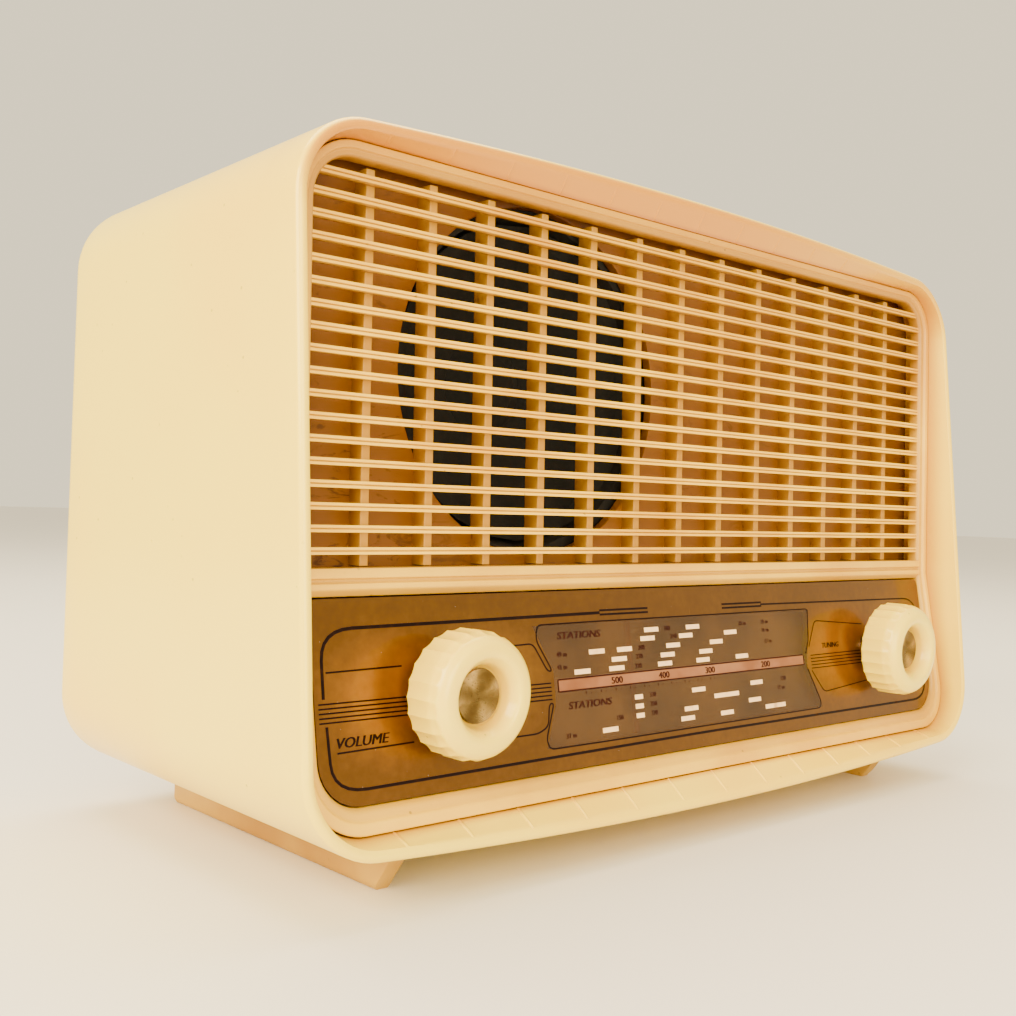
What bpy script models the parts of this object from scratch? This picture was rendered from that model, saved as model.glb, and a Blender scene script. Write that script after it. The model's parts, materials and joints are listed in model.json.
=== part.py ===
"""Small table radio: moulded cabinet, slatted grille, sloping dial, two knobs and the works inside.

Metres, +Z up, the front faces -Y and +X is to the right of someone facing it. Heights are measured
from the surface that the radio stands on. Depths are measured from the foot of the grille's face
while the pieces are made; the last step moves everything so that the origin is under the middle.
"""

import math

import bmesh
import bpy
import numpy as np

MM = 0.001
GAP = 0.3 * MM  # air left between pieces that touch on the real object

# Cabinet
CABINET_HALF_WIDTH = 137 * MM
CABINET_BOTTOM = 14.5 * MM  # at the corners; the underside is bowed down below this
CABINET_TOP = 173.5 * MM  # at the corners; the top is bowed up above this
CABINET_CROWN = 4.8 * MM
CABINET_CORNER = 19 * MM
SIDE_TAPER = 0.004  # the sides lean in by this share of the half width at the top
FRONT_FOOT_Y = -18.93 * MM  # where the plane of the front lip meets the table
FRONT_LEAN = 0.09  # how far the lip's plane goes back for each metre up
REAR_Y = 116 * MM
REAR_SIDE_DRAFT = 1.4 * MM
REAR_TOP_DROP = 2 * MM
REAR_ROUND = 5 * MM
LIP_ROUND = 1.5 * MM
LIP_WIDTH = 2.6 * MM  # from the outer skin in to where the mouth starts to flare
WALL = 2.8 * MM
POCKET_BACK = 3 * MM  # how far the pocket round the grille's frame goes on behind it
INNER_FRONT_Y = 16 * MM  # where the inside of the tube starts, behind the pocket
COVER_INSET = 10 * MM  # from the outer skin in to the rear cover's recess
COVER_SHELF = 7 * MM
COVER_THICK = 2.5 * MM
COVER_SCREW_X = 121.8 * MM
COVER_SCREW_Z = (44 * MM, 140 * MM)
COVER_SCREW_RADIUS = 1.5 * MM

# Recessed front: the grille's face above the rail and the dial's face below it
GRILLE_FOOT_Y = -1.79 * MM
GRILLE_LEAN = 0.0227
DIAL_FOOT_Y = -12.67 * MM
DIAL_LEAN = 0.1765
KINK_HEIGHT = (GRILLE_FOOT_Y - DIAL_FOOT_Y) / (DIAL_LEAN - GRILLE_LEAN)
FRAME_HALF_WIDTH = 132.7 * MM
FRAME_BOTTOM = 17.5 * MM
FRAME_TOP = 170.2 * MM
FRAME_CORNER = 15 * MM
FRAME_BAND = 4.4 * MM  # how wide the frame is at its sides
FRAME_BAND_BELOW = 5.7 * MM
FRAME_BAND_ABOVE = 3.6 * MM
FRAME_DEPTH = 3.2 * MM
SLAT_COUNT = 18
SLAT_PITCH = 4.945 * MM
SLAT_FIRST = 78.7 * MM
SLAT_HEIGHT = 1.65 * MM
SLAT_DEPTH = 2.8 * MM
RIB_COUNT = 13
RIB_PITCH = 18.5 * MM
RIB_WIDTH = 2.2 * MM
RAIL_TOP = 74.9 * MM
RAIL_BOTTOM = 68.5 * MM
BAFFLE_SETBACK = 7.6 * MM
BAFFLE_THICK = 2.5 * MM
BAFFLE_BOTTOM = 74.4 * MM
BAFFLE_TOP = 172.2 * MM
BAFFLE_CORNER = 18 * MM
BAFFLE_CROWN = 3.4 * MM

# Dial
GLASS_THICK = 2 * MM
POINTER_SETBACK = 3.4 * MM
PLATE_SETBACK = 6 * MM
PLATE_THICK = 0.8 * MM
POINTER_REST_X = -23 * MM
POINTER_FOOT = 27 * MM
POINTER_TOP = 68 * MM
POINTER_ARM_Z = 67.5 * MM
CARRIAGE_HALF_WIDTH = 3 * MM
CARRIAGE_HEIGHT = 1.7 * MM
PLATE_TOP = 66.7 * MM
PLATE_LUG_X = 104 * MM

# Controls
VOLUME_X = -93.4 * MM
TUNING_X = 91.4 * MM
KNOB_Z = 46.9 * MM
KNOB_RADIUS = 14.8 * MM
KNOB_FRONT_Y = -22.4 * MM
KNOB_SKIRT_Y = -10.4 * MM
KNOB_BACK_Y = -7.4 * MM
KNOB_DISC_SETBACK = 5.2 * MM
SHAFT_FRONT_Y = KNOB_FRONT_Y + 7.2 * MM
SHAFT_RADIUS = 3 * MM
EAR_Y = 12 * MM
EAR_THICK = 1.2 * MM

# Dial drive
CORD_Y = 9 * MM
CORD_RADIUS = 0.4 * MM
DRUM_X = 52 * MM
DRUM_Z = 45.2 * MM
DRUM_RADIUS = 24 * MM
TUNING_SPINDLE_RADIUS = 3.2 * MM
PULLEY_RADIUS = 3.5 * MM
PULLEY_LEFT_X = -58 * MM
PULLEY_LOW_Z = 22.6 * MM

# Loudspeaker
SPEAKER_X = -53.4 * MM
SPEAKER_Z = 122.6 * MM
SPEAKER_HOLE = 45.5 * MM
SPEAKER_FLANGE = 48.4 * MM
SPEAKER_NECK = 20 * MM
BASKET_WINDOW = 16 * MM

# Chassis
CHASSIS_TOP = 25.7 * MM
CHASSIS_BOTTOM = 17.7 * MM
CHASSIS_HALF_WIDTH = 112 * MM
CHASSIS_FRONT_Y = 13.5 * MM
CHASSIS_BACK_Y = 104 * MM
SHEET = 1 * MM
VALVE_HOLE = 8.5 * MM
EAR_WIDTH = 30 * MM
EAR_REACH = 12 * MM  # how far the ears go on above the shafts
COIL_CAN_SIZE = 17 * MM
COIL_CAN_HEIGHT = 36 * MM
COIL_CAN_PLACES = ((100 * MM, 46 * MM), (14 * MM, 84 * MM))
SMOOTHING_CAN_PLACE = (-18 * MM, 52 * MM)
LAMP_PLACE = (4 * MM, 24 * MM)

# Tuning capacitor
CAPACITOR_FRONT_Y = 16 * MM
CAPACITOR_BACK_Y = 58 * MM
CAPACITOR_HALF_WIDTH = 19 * MM
CAPACITOR_PITCH = 5 * MM
STATOR_PLATES = 7
ROTOR_RADIUS = 14 * MM

# Ferrite aerial
FERRITE_Y = 24 * MM
FERRITE_Z = 150 * MM
FERRITE_RADIUS = 4.8 * MM
FERRITE_ENDS = (12 * MM, 116 * MM)
FERRITE_CLIPS = (("ferrite_clip_left", 22 * MM), ("ferrite_clip_right", 104 * MM))

# Rear cover
VENT_ROWS = 3
VENT_COLUMNS = 10
VENT_FIRST_Z = 118 * MM
VENT_ROW_PITCH = 14 * MM
VENT_COLUMN_PITCH = 20 * MM
VENT_WIDTH = 14 * MM
VENT_HEIGHT = 4 * MM
SELECTOR_X = -84 * MM
SELECTOR_Z = 52 * MM
GROMMET_X = -40 * MM
GROMMET_Z = 36 * MM
SOCKETS_X = 71 * MM
SOCKETS_Z = 44 * MM
SOCKET_SPACING = 16 * MM

# Runners that the cabinet stands on
RUNNER_X = 103.6 * MM
RUNNER_THICK = 4.8 * MM
RUNNER_FRONT_Y = 2.6 * MM
RUNNER_BACK_Y = 102 * MM
RUNNER_RAKE = 9 * MM
RUNNER_TOP = 12 * MM

CENTRE_SHIFT_Y = -47.95 * MM  # brings the middle of the finished box to y = 0


def material(name, colour, roughness, metallic=0.0):
    made = bpy.data.materials.new(name)
    made.use_nodes = True
    shader = made.node_tree.nodes["Principled BSDF"]
    shader.inputs["Base Color"].default_value = (*colour, 1.0)
    shader.inputs["Roughness"].default_value = roughness
    shader.inputs["Metallic"].default_value = metallic
    return made


def finish_piece(name, mesh_data, colour, location=(0, 0, 0), smooth=True):
    """Close a bmesh into a named object of its own material, its faces turned outwards."""
    bmesh.ops.recalc_face_normals(mesh_data, faces=mesh_data.faces)
    mesh = bpy.data.meshes.new(name)
    mesh_data.to_mesh(mesh)
    mesh_data.free()
    if smooth:
        mesh.shade_smooth()
        mesh.set_sharp_from_angle(angle=math.radians(35))
    piece = bpy.data.objects.new(name, mesh)
    mesh.materials.append(material(name, *colour))
    piece.location = location
    bpy.context.collection.objects.link(piece)
    return piece


# Plain finishes: colour, roughness, metallic
CREAM = ((0.86, 0.72, 0.45), 0.35)
PALE_CREAM = ((0.90, 0.76, 0.50), 0.35)
BROWN_GOLD = ((0.42, 0.24, 0.05), 0.3, 0.4)
GOLD_PLATE = ((0.62, 0.42, 0.14), 0.4, 0.6)
BRASS = ((0.66, 0.48, 0.20), 0.3, 1.0)
RED = ((0.55, 0.05, 0.03), 0.5)
STEEL = ((0.55, 0.55, 0.53), 0.4, 1.0)
ZINC = ((0.62, 0.62, 0.58), 0.5, 0.9)
ALUMINIUM = ((0.75, 0.75, 0.75), 0.35, 1.0)
GLASS = ((0.70, 0.74, 0.74), 0.08)
PHENOLIC = ((0.16, 0.09, 0.05), 0.5)
BLACK_PLASTIC = ((0.03, 0.03, 0.03), 0.45)
BLACK_PAPER = ((0.04, 0.04, 0.035), 0.85)
HARDBOARD = ((0.22, 0.13, 0.07), 0.8)
FERRITE = ((0.10, 0.10, 0.10), 0.7)
COPPER = ((0.55, 0.24, 0.10), 0.45, 0.6)
IRON = ((0.18, 0.18, 0.19), 0.6, 0.7)
CORD_THREAD = ((0.60, 0.52, 0.36), 0.9)
RUBBER = ((0.05, 0.05, 0.05), 0.7)


# ---------------------------------------------------------------- shape helpers


def front_plane(z):
    return FRONT_FOOT_Y + FRONT_LEAN * z


def grille_face(z):
    return GRILLE_FOOT_Y + GRILLE_LEAN * z


def dial_face(z):
    return DIAL_FOOT_Y + DIAL_LEAN * z


def recess_face(z):
    """The visible floor of the front recess: grille plane above the kink, dial plane below it."""
    return np.minimum(grille_face(z), dial_face(z))


def outline(half_width, bottom, top, corner, crown=0.0, taper=0.0, low_corner=None, steps=6):
    """Points (x, z) of a rounded rectangle whose top and bottom edges bow outwards by crown.

    They run up the right side first. The same number of points comes back for every size, with one
    on each side at the height of the kink, so that outlines of different sizes can be lofted.
    """
    low = corner if low_corner is None else low_corner
    turn = np.linspace(0, math.pi / 2, steps + 1)
    across = np.linspace(1, -1, 9)[1:-1]

    def arc(centre_x, centre_z, radius, start):
        x = centre_x + radius * np.cos(start + turn)
        z = centre_z + radius * np.sin(start + turn)
        return np.stack([x, z], 1)

    kink = min(max(KINK_HEIGHT, bottom + low + MM), top - corner - MM)
    right_side = [[half_width, kink]]
    top_edge = np.stack([across * (half_width - corner), np.full(7, top)], 1)
    bottom_edge = np.stack([-across * (half_width - low), np.full(7, bottom)], 1)
    points = np.concatenate([
        right_side,
        arc(half_width - corner, top - corner, corner, 0),
        top_edge,
        arc(corner - half_width, top - corner, corner, math.pi / 2),
        [[-half_width, kink]],
        arc(low - half_width, bottom + low, low, math.pi),
        bottom_edge,
        arc(half_width - low, bottom + low, low, 1.5 * math.pi),
    ])
    middle = (top + bottom) / 2
    x, z = points.T
    upper = np.where(z > middle, 1.0, -1.0)
    bowed = z + upper * crown * (1 - (x / half_width) ** 2)
    leaned = x * (1 - taper * (z - middle) / ((top - bottom) / 2))
    return np.stack([leaned, bowed], 1)


def ring(points, depth):
    """Turn an outline into 3-D points; depth is a number or a function of height."""
    x, z = points.T
    y = depth(z) if callable(depth) else np.full(len(x), depth)
    return np.stack([x, y, z], 1)


def loft(rings, closed):
    """Skin equal rings of points with four-sided faces; closed also joins the last to the first."""
    mesh_data = bmesh.new()
    loops = [[mesh_data.verts.new(point) for point in one_ring] for one_ring in rings]
    pairs = list(zip(loops, loops[1:]))
    if closed:
        pairs.append((loops[-1], loops[0]))
    for first, second in pairs:
        count = len(first)
        for i in range(count):
            j = (i + 1) % count
            mesh_data.faces.new((first[i], first[j], second[j], second[i]))
    if not closed:
        mesh_data.faces.new(loops[0])
        mesh_data.faces.new(loops[-1])
    return mesh_data


def add_box(mesh_data, low, high):
    """Add a closed box between two corners and return its points."""
    corners = [
        mesh_data.verts.new((x, y, z))
        for x in (low[0], high[0])
        for y in (low[1], high[1])
        for z in (low[2], high[2])
    ]
    for face in ((0, 1, 3, 2), (4, 6, 7, 5), (0, 4, 5, 1), (2, 3, 7, 6), (0, 2, 6, 4), (1, 5, 7, 3)):
        mesh_data.faces.new([corners[i] for i in face])
    return corners


def boxes(pairs):
    mesh_data = bmesh.new()
    for low, high in pairs:
        add_box(mesh_data, low, high)
    return mesh_data


def add_prism(mesh_data, profile, start, end):
    """Add a bar along x whose cross-section is a profile of (y, z)."""
    ends = [[mesh_data.verts.new((x, y, z)) for y, z in profile] for x in (start, end)]
    count = len(profile)
    for i in range(count):
        j = (i + 1) % count
        mesh_data.faces.new((ends[0][i], ends[0][j], ends[1][j], ends[1][i]))
    mesh_data.faces.new(ends[0])
    mesh_data.faces.new(ends[1])
    return mesh_data


AXES = {"x": (1, 2, 0), "y": (0, 2, 1), "z": (0, 1, 2)}


def add_turned(mesh_data, profile, axis, centre=(0, 0, 0), segments=24):
    """Turn a profile of (radius, distance along the axis) about an axis parallel to x, y or z.

    A profile that starts and ends at radius 0 makes a solid; one that doesn't is joined end to end
    into a ring.
    """
    side, up, along = AXES[axis]
    angles = np.arange(segments) * 2 * math.pi / segments

    def point(radius, distance, angle):
        place = [0.0, 0.0, 0.0]
        place[side] = radius * math.cos(angle)
        place[up] = radius * math.sin(angle)
        place[along] = distance
        return [place[i] + centre[i] for i in range(3)]

    rows = []
    for radius, distance in profile:
        if radius == 0:
            rows.append([mesh_data.verts.new(point(0, distance, 0))])
        else:
            rows.append([mesh_data.verts.new(point(radius, distance, angle)) for angle in angles])
    pairs = list(zip(rows, rows[1:]))
    if profile[0][0] != 0:
        pairs.append((rows[-1], rows[0]))
    for first, second in pairs:
        for i in range(segments):
            j = (i + 1) % segments
            here = [first[k % len(first)] for k in (i, j)]
            there = [second[k % len(second)] for k in (j, i)]
            mesh_data.faces.new(list(dict.fromkeys(here + there)))
    return mesh_data


def turned(name, profile, axis, colour, location, segments=24):
    mesh_data = add_turned(bmesh.new(), profile, axis, segments=segments)
    return finish_piece(name, mesh_data, colour, location)


def rod(radius, start, end):
    """Profile of a plain solid cylinder."""
    return [(0, start), (radius, start), (radius, end), (0, end)]


def lean_back(mesh_data, lean, foot_height=0.0):
    """Shear the whole mesh so that it goes back by lean for each metre above foot_height."""
    for vert in mesh_data.verts:
        vert.co.y += lean * (vert.co.z - foot_height)
    return mesh_data


def helper(name, mesh_data):
    """A cutter or an added shape that a Boolean reads; it isn't a piece itself."""
    shape = finish_piece(name, mesh_data, CREAM, smooth=False)
    shape.hide_render = True
    shape.display_type = "WIRE"
    return shape


def boolean(piece, operation, other):
    step = piece.modifiers.new(f"{operation.lower()}_{other.name}", "BOOLEAN")
    step.operation = operation
    step.solver = "EXACT"
    step.object = other


# ---------------------------------------------------------------- cabinet and front


def cabinet_section(inset, at_rear, crown):
    """The cabinet's outline in from its outer skin; the rear is a little smaller than the front."""
    draft = REAR_SIDE_DRAFT if at_rear else 0.0
    drop = REAR_TOP_DROP if at_rear else 0.0
    return outline(
        CABINET_HALF_WIDTH - draft - inset,
        CABINET_BOTTOM + inset,
        CABINET_TOP - drop - inset,
        max(CABINET_CORNER - inset, 6 * MM),
        crown,
        SIDE_TAPER,
    )


def frame_section(inset):
    """The grille frame's outline; inset is how far in from its sides."""
    below = inset * FRAME_BAND_BELOW / FRAME_BAND
    above = inset * FRAME_BAND_ABOVE / FRAME_BAND
    return outline(
        FRAME_HALF_WIDTH - inset, FRAME_BOTTOM + below, FRAME_TOP - above, FRAME_CORNER - inset
    )


def make_cabinet():
    """A tube with a rounded lip, a flared mouth, a pocket for the grille and a shelf for the cover.

    Behind the grille it has a wall with upright ribs and the loudspeaker's round opening.
    """
    crown = CABINET_CROWN
    rings = []
    for share in (0.0, 0.5, 1.0):  # lip, from its front edge round to the outer skin
        turn = share * math.pi / 2
        inset = LIP_ROUND * (1 - math.sin(turn))
        back = LIP_ROUND * (1 - math.cos(turn))
        rings.append(ring(cabinet_section(inset, False, crown), lambda z, b=back: front_plane(z) + b))
    for share in (0.0, 0.35, 0.7, 1.0):  # rounded rear edge
        turn = share * math.pi / 2
        inset = REAR_ROUND * (1 - math.cos(turn))
        depth = REAR_Y - REAR_ROUND * (1 - math.sin(turn))
        rings.append(ring(cabinet_section(inset, True, crown), depth))
    shelf_y = REAR_Y - COVER_THICK - GAP
    rings.append(ring(cabinet_section(COVER_INSET, True, crown), REAR_Y))
    rings.append(ring(cabinet_section(COVER_INSET, True, crown), shelf_y))
    rings.append(ring(cabinet_section(COVER_INSET + COVER_SHELF, True, crown), shelf_y))
    rings.append(ring(cabinet_section(COVER_INSET + COVER_SHELF, True, crown), shelf_y - WALL))
    rings.append(ring(cabinet_section(WALL, True, crown), REAR_Y - COVER_INSET - WALL))
    rings.append(ring(cabinet_section(WALL, False, crown * 0.7), INNER_FRONT_Y))
    pocket = frame_section(-GAP)
    rings.append(ring(pocket, lambda z: recess_face(z) + FRAME_DEPTH + POCKET_BACK))
    rings.append(ring(pocket, lambda z: recess_face(z) - 1.2 * MM))
    mouth = cabinet_section(LIP_WIDTH, False, crown * 0.95)
    rings.append(ring(mouth, lambda z: front_plane(z) + 0.5 * MM))
    cabinet = finish_piece("cabinet_shell", loft(rings, closed=True), CREAM)

    wall_points = outline(
        CABINET_HALF_WIDTH - 1.6 * MM, BAFFLE_BOTTOM, BAFFLE_TOP, BAFFLE_CORNER, BAFFLE_CROWN,
        SIDE_TAPER, 0.8 * MM,
    )
    wall = loft([ring(wall_points, BAFFLE_SETBACK), ring(wall_points, BAFFLE_SETBACK + BAFFLE_THICK)], False)
    lean_back(wall, GRILLE_LEAN, SLAT_FIRST)
    boolean(cabinet, "UNION", helper("added_front_wall", wall))
    hole = add_turned(bmesh.new(), rod(SPEAKER_HOLE, 0, 20 * MM), "y", (SPEAKER_X, 0, SPEAKER_Z), 40)
    boolean(cabinet, "DIFFERENCE", helper("cut_speaker_hole", hole))
    ribs = bmesh.new()
    for i in range(RIB_COUNT):
        x = (i - (RIB_COUNT - 1) / 2) * RIB_PITCH
        low = (x - RIB_WIDTH / 2, SLAT_DEPTH + GAP, RAIL_TOP + GAP)
        high = (x + RIB_WIDTH / 2, BAFFLE_SETBACK + 0.5 * MM, FRAME_TOP - FRAME_BAND_ABOVE - 2 * GAP)
        add_box(ribs, low, high)
    lean_back(ribs, GRILLE_LEAN, SLAT_FIRST)
    boolean(cabinet, "UNION", helper("added_ribs", ribs))
    pilots = bmesh.new()
    for x, z in cover_screw_places():
        pilot = rod(COVER_SCREW_RADIUS + GAP, REAR_Y - 12 * MM, REAR_Y + MM)
        add_turned(pilots, pilot, "y", (x, 0, z), 12)
    boolean(cabinet, "DIFFERENCE", helper("cut_cover_screw_holes", pilots))


def make_runners():
    """Two straight skids under the cabinet, their front ends raked back towards the floor."""
    for name, side in (("left_runner", -1), ("right_runner", 1)):
        mesh_data = bmesh.new()
        x = side * RUNNER_X
        corners = add_box(
            mesh_data,
            (x - RUNNER_THICK / 2, RUNNER_FRONT_Y, 0),
            (x + RUNNER_THICK / 2, RUNNER_BACK_Y, RUNNER_TOP),
        )
        for corner in corners:
            if corner.co.z > 0 and corner.co.y < 0.05:
                corner.co.y -= RUNNER_RAKE
        finish_piece(name, mesh_data, CREAM, smooth=False)


def make_grille():
    """Stepped frame round both openings, with the rail between them and the slats."""
    steps = [
        (0, FRAME_DEPTH), (0, -1.6 * MM), (2.0 * MM, -1.6 * MM), (2.4 * MM, -0.8 * MM),
        (3.7 * MM, -0.8 * MM), (FRAME_BAND, 0), (FRAME_BAND, FRAME_DEPTH),
    ]
    rings = [ring(frame_section(inset), lambda z, b=back: recess_face(z) + b) for inset, back in steps]
    grille = finish_piece("front_grille", loft(rings, closed=True), CREAM)

    reach = FRAME_HALF_WIDTH - FRAME_BAND + 1.5 * MM
    slats = bmesh.new()
    for i in range(SLAT_COUNT):
        z = SLAT_FIRST + i * SLAT_PITCH
        width = reach if 0 < i < SLAT_COUNT - 1 else reach - 0.6 * MM
        add_box(slats, (-width, 0, z - SLAT_HEIGHT / 2), (width, SLAT_DEPTH, z + SLAT_HEIGHT / 2))
    lean_back(slats, GRILLE_LEAN, SLAT_FIRST)
    boolean(grille, "UNION", helper("added_slats", slats))

    face = grille_face(KINK_HEIGHT)
    rail_profile = [
        (face + 3.4 * MM, RAIL_TOP), (face - 0.9 * MM, RAIL_TOP), (face - 1.2 * MM, 72.7 * MM),
        (face - 0.4 * MM, 72.4 * MM), (face - 0.4 * MM, 71.7 * MM), (face - 1.2 * MM, 71.4 * MM),
        (face - 1.2 * MM, 70.3 * MM), (face + 0.3 * MM, RAIL_BOTTOM), (face + 2.2 * MM, RAIL_BOTTOM),
        (face + 3.4 * MM, 71.6 * MM),
    ]
    rail = add_prism(bmesh.new(), rail_profile, MM - reach, reach - MM)
    boolean(grille, "UNION", helper("added_rail", rail))


def make_dial():
    """Printed glass under the rail, with the steel plate that backs it and carries the pulleys."""
    inner = FRAME_BAND + GAP
    glass_points = outline(
        FRAME_HALF_WIDTH - inner, FRAME_BOTTOM + FRAME_BAND_BELOW + GAP, RAIL_BOTTOM - GAP,
        2 * MM, low_corner=FRAME_CORNER - inner,
    )
    glass = loft([ring(glass_points, 0.2 * MM), ring(glass_points, 0.2 * MM + GLASS_THICK)], False)
    lean_back(glass, DIAL_LEAN)
    for vert in glass.verts:
        vert.co.y += DIAL_FOOT_Y
    glass_piece = finish_piece("dial_glass", glass, BROWN_GOLD)
    shaft_holes = bmesh.new()
    plate_holes = bmesh.new()
    for x in (VOLUME_X, TUNING_X):
        add_turned(shaft_holes, rod(4.5 * MM, -15 * MM, 2 * MM), "y", (x, 0, KNOB_Z), 20)
        add_turned(plate_holes, rod(6 * MM, -4 * MM, 8 * MM), "y", (x, 0, KNOB_Z), 16)
    boolean(glass_piece, "DIFFERENCE", helper("cut_glass_holes", shaft_holes))

    plate_points = outline(
        FRAME_HALF_WIDTH - 7 * MM, FRAME_BOTTOM + 6 * MM, PLATE_TOP, 2 * MM, low_corner=9 * MM
    )
    plate = loft([ring(plate_points, PLATE_SETBACK), ring(plate_points, PLATE_SETBACK + PLATE_THICK)], False)
    lean_back(plate, DIAL_LEAN)
    for vert in plate.verts:
        vert.co.y += DIAL_FOOT_Y
    plate_piece = finish_piece("dial_plate", plate, GOLD_PLATE)
    boolean(plate_piece, "DIFFERENCE", helper("cut_plate_holes", plate_holes))
    fixings = bmesh.new()
    for side in (-1, 1):
        x = side * PLATE_LUG_X
        add_box(fixings, (x - 3 * MM, 1.3 * MM, 40 * MM), (x + 3 * MM, EAR_Y - GAP, 47 * MM))
    for x, z in pulley_places():
        start = dial_face(z) + PLATE_SETBACK + 0.4 * MM
        add_turned(fixings, rod(1.2 * MM, start, CORD_Y + 2.6 * MM), "y", (x, 0, z), 12)
    boolean(plate_piece, "UNION", helper("added_plate_fixings", fixings))


def make_pointer():
    """Carriage clipped to the cord's upper run, an arm over the plate's top edge and a fine needle."""
    x = POINTER_REST_X
    run = DRUM_Z + DRUM_RADIUS + CORD_RADIUS
    mesh_data = bmesh.new()
    top = run - CORD_RADIUS - GAP
    carriage_low = (x - CARRIAGE_HALF_WIDTH, CORD_Y - 1.5 * MM, top - CARRIAGE_HEIGHT)
    add_box(mesh_data, carriage_low, (x + CARRIAGE_HALF_WIDTH, CORD_Y + 1.5 * MM, top))
    carriage = finish_piece("dial_pointer", mesh_data, RED, smooth=False)
    arm_top = POINTER_ARM_Z + 0.7 * MM
    arm = boxes([((x - 1.5 * MM, 1.6 * MM, POINTER_ARM_Z), (x + 1.5 * MM, CORD_Y - MM, arm_top))])
    boolean(carriage, "UNION", helper("added_pointer_arm", arm))
    needle_low = (x - 0.5 * MM, POINTER_SETBACK, POINTER_FOOT)
    needle = boxes([(needle_low, (x + 0.5 * MM, POINTER_SETBACK + 1.1 * MM, POINTER_TOP))])
    lean_back(needle, DIAL_LEAN)
    for vert in needle.verts:
        vert.co.y += DIAL_FOOT_Y
    boolean(carriage, "UNION", helper("added_pointer_needle", needle))


# ---------------------------------------------------------------- knobs and dial drive


def make_knob(name, x):
    """Broad rim with a rolled front that dips to a flat for the brass disc, on a narrow skirt."""
    front = KNOB_FRONT_Y
    disc_y = front + KNOB_DISC_SETBACK
    bore = SHAFT_RADIUS + GAP
    bore_end = SHAFT_FRONT_Y - GAP
    profile = [
        (0, disc_y), (6.9 * MM, disc_y), (7.6 * MM, front + 2.2 * MM), (9.2 * MM, front + 0.3 * MM),
        (10.6 * MM, front), (12.4 * MM, front + 0.5 * MM), (13.9 * MM, front + 2.4 * MM),
        (KNOB_RADIUS, front + 4.8 * MM), (KNOB_RADIUS, KNOB_SKIRT_Y), (9.5 * MM, KNOB_SKIRT_Y + 0.8 * MM),
        (9.5 * MM, KNOB_BACK_Y), (bore, KNOB_BACK_Y), (bore, bore_end), (0, bore_end),
    ]
    turned(name, profile, "y", PALE_CREAM, (x, 0, KNOB_Z), 28)
    disc = [(0, -0.9 * MM), (5.2 * MM, -0.9 * MM), (6.4 * MM, -0.3 * MM), (6.4 * MM, 0), (0, 0)]
    turned(f"{name}_disc", disc, "y", BRASS, (x, disc_y - GAP, KNOB_Z), 24)


def make_controls():
    make_knob("volume_knob", VOLUME_X)
    make_knob("tuning_knob", TUNING_X)
    volume_shaft = rod(SHAFT_RADIUS, SHAFT_FRONT_Y, 17.5 * MM)
    turned("volume_shaft", volume_shaft, "y", STEEL, (VOLUME_X, 0, KNOB_Z), 16)
    spindle = [
        (0, SHAFT_FRONT_Y), (SHAFT_RADIUS, SHAFT_FRONT_Y), (SHAFT_RADIUS, 5 * MM), (4.2 * MM, 5 * MM),
        (4.2 * MM, 7 * MM), (TUNING_SPINDLE_RADIUS, 7.6 * MM), (TUNING_SPINDLE_RADIUS, 10.4 * MM),
        (SHAFT_RADIUS, 10.6 * MM), (SHAFT_RADIUS, 24 * MM), (0, 24 * MM),
    ]
    turned("tuning_shaft", spindle, "y", STEEL, (TUNING_X, 0, KNOB_Z), 16)
    bore = SHAFT_RADIUS + GAP
    control = [
        (0, 18 * MM), (bore, 18 * MM), (bore, 9.5 * MM), (4.6 * MM, 9.5 * MM),
        (4.6 * MM, 15.2 * MM), (12 * MM, 15.2 * MM), (12 * MM, 29 * MM), (0, 29 * MM),
    ]
    turned("volume_control", control, "y", ZINC, (VOLUME_X, 0, KNOB_Z), 20)
    bushing = [
        (bore, 11.2 * MM), (4.6 * MM, 11.2 * MM), (4.6 * MM, EAR_Y + EAR_THICK + GAP),
        (7 * MM, EAR_Y + EAR_THICK + GAP), (7 * MM, 16 * MM), (4.6 * MM, 16.4 * MM),
        (4.6 * MM, 22 * MM), (bore, 22 * MM),
    ]
    turned("tuning_bushing", bushing, "y", BRASS, (TUNING_X, 0, KNOB_Z), 16)


def pulley_places():
    """Axes (x, z) of the three idler pulleys: upper left, lower left, lower right."""
    upper = DRUM_Z + DRUM_RADIUS - PULLEY_RADIUS
    right = TUNING_X + TUNING_SPINDLE_RADIUS - PULLEY_RADIUS
    return [(PULLEY_LEFT_X, upper), (PULLEY_LEFT_X, PULLEY_LOW_Z), (right, PULLEY_LOW_Z)]


def make_pulleys():
    names = ("idler_pulley_upper", "idler_pulley_lower_left", "idler_pulley_lower_right")
    flange = PULLEY_RADIUS + 0.9 * MM
    groove = PULLEY_RADIUS - GAP
    bore = 1.2 * MM + GAP
    profile = [
        (bore, -1.5 * MM), (flange, -1.5 * MM), (flange, -0.9 * MM), (groove, -0.5 * MM),
        (groove, 0.5 * MM), (flange, 0.9 * MM), (flange, 1.5 * MM), (bore, 1.5 * MM),
    ]
    for name, (x, z) in zip(names, pulley_places()):
        turned(name, profile, "y", PALE_CREAM, (x, CORD_Y, z), 14)


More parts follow.
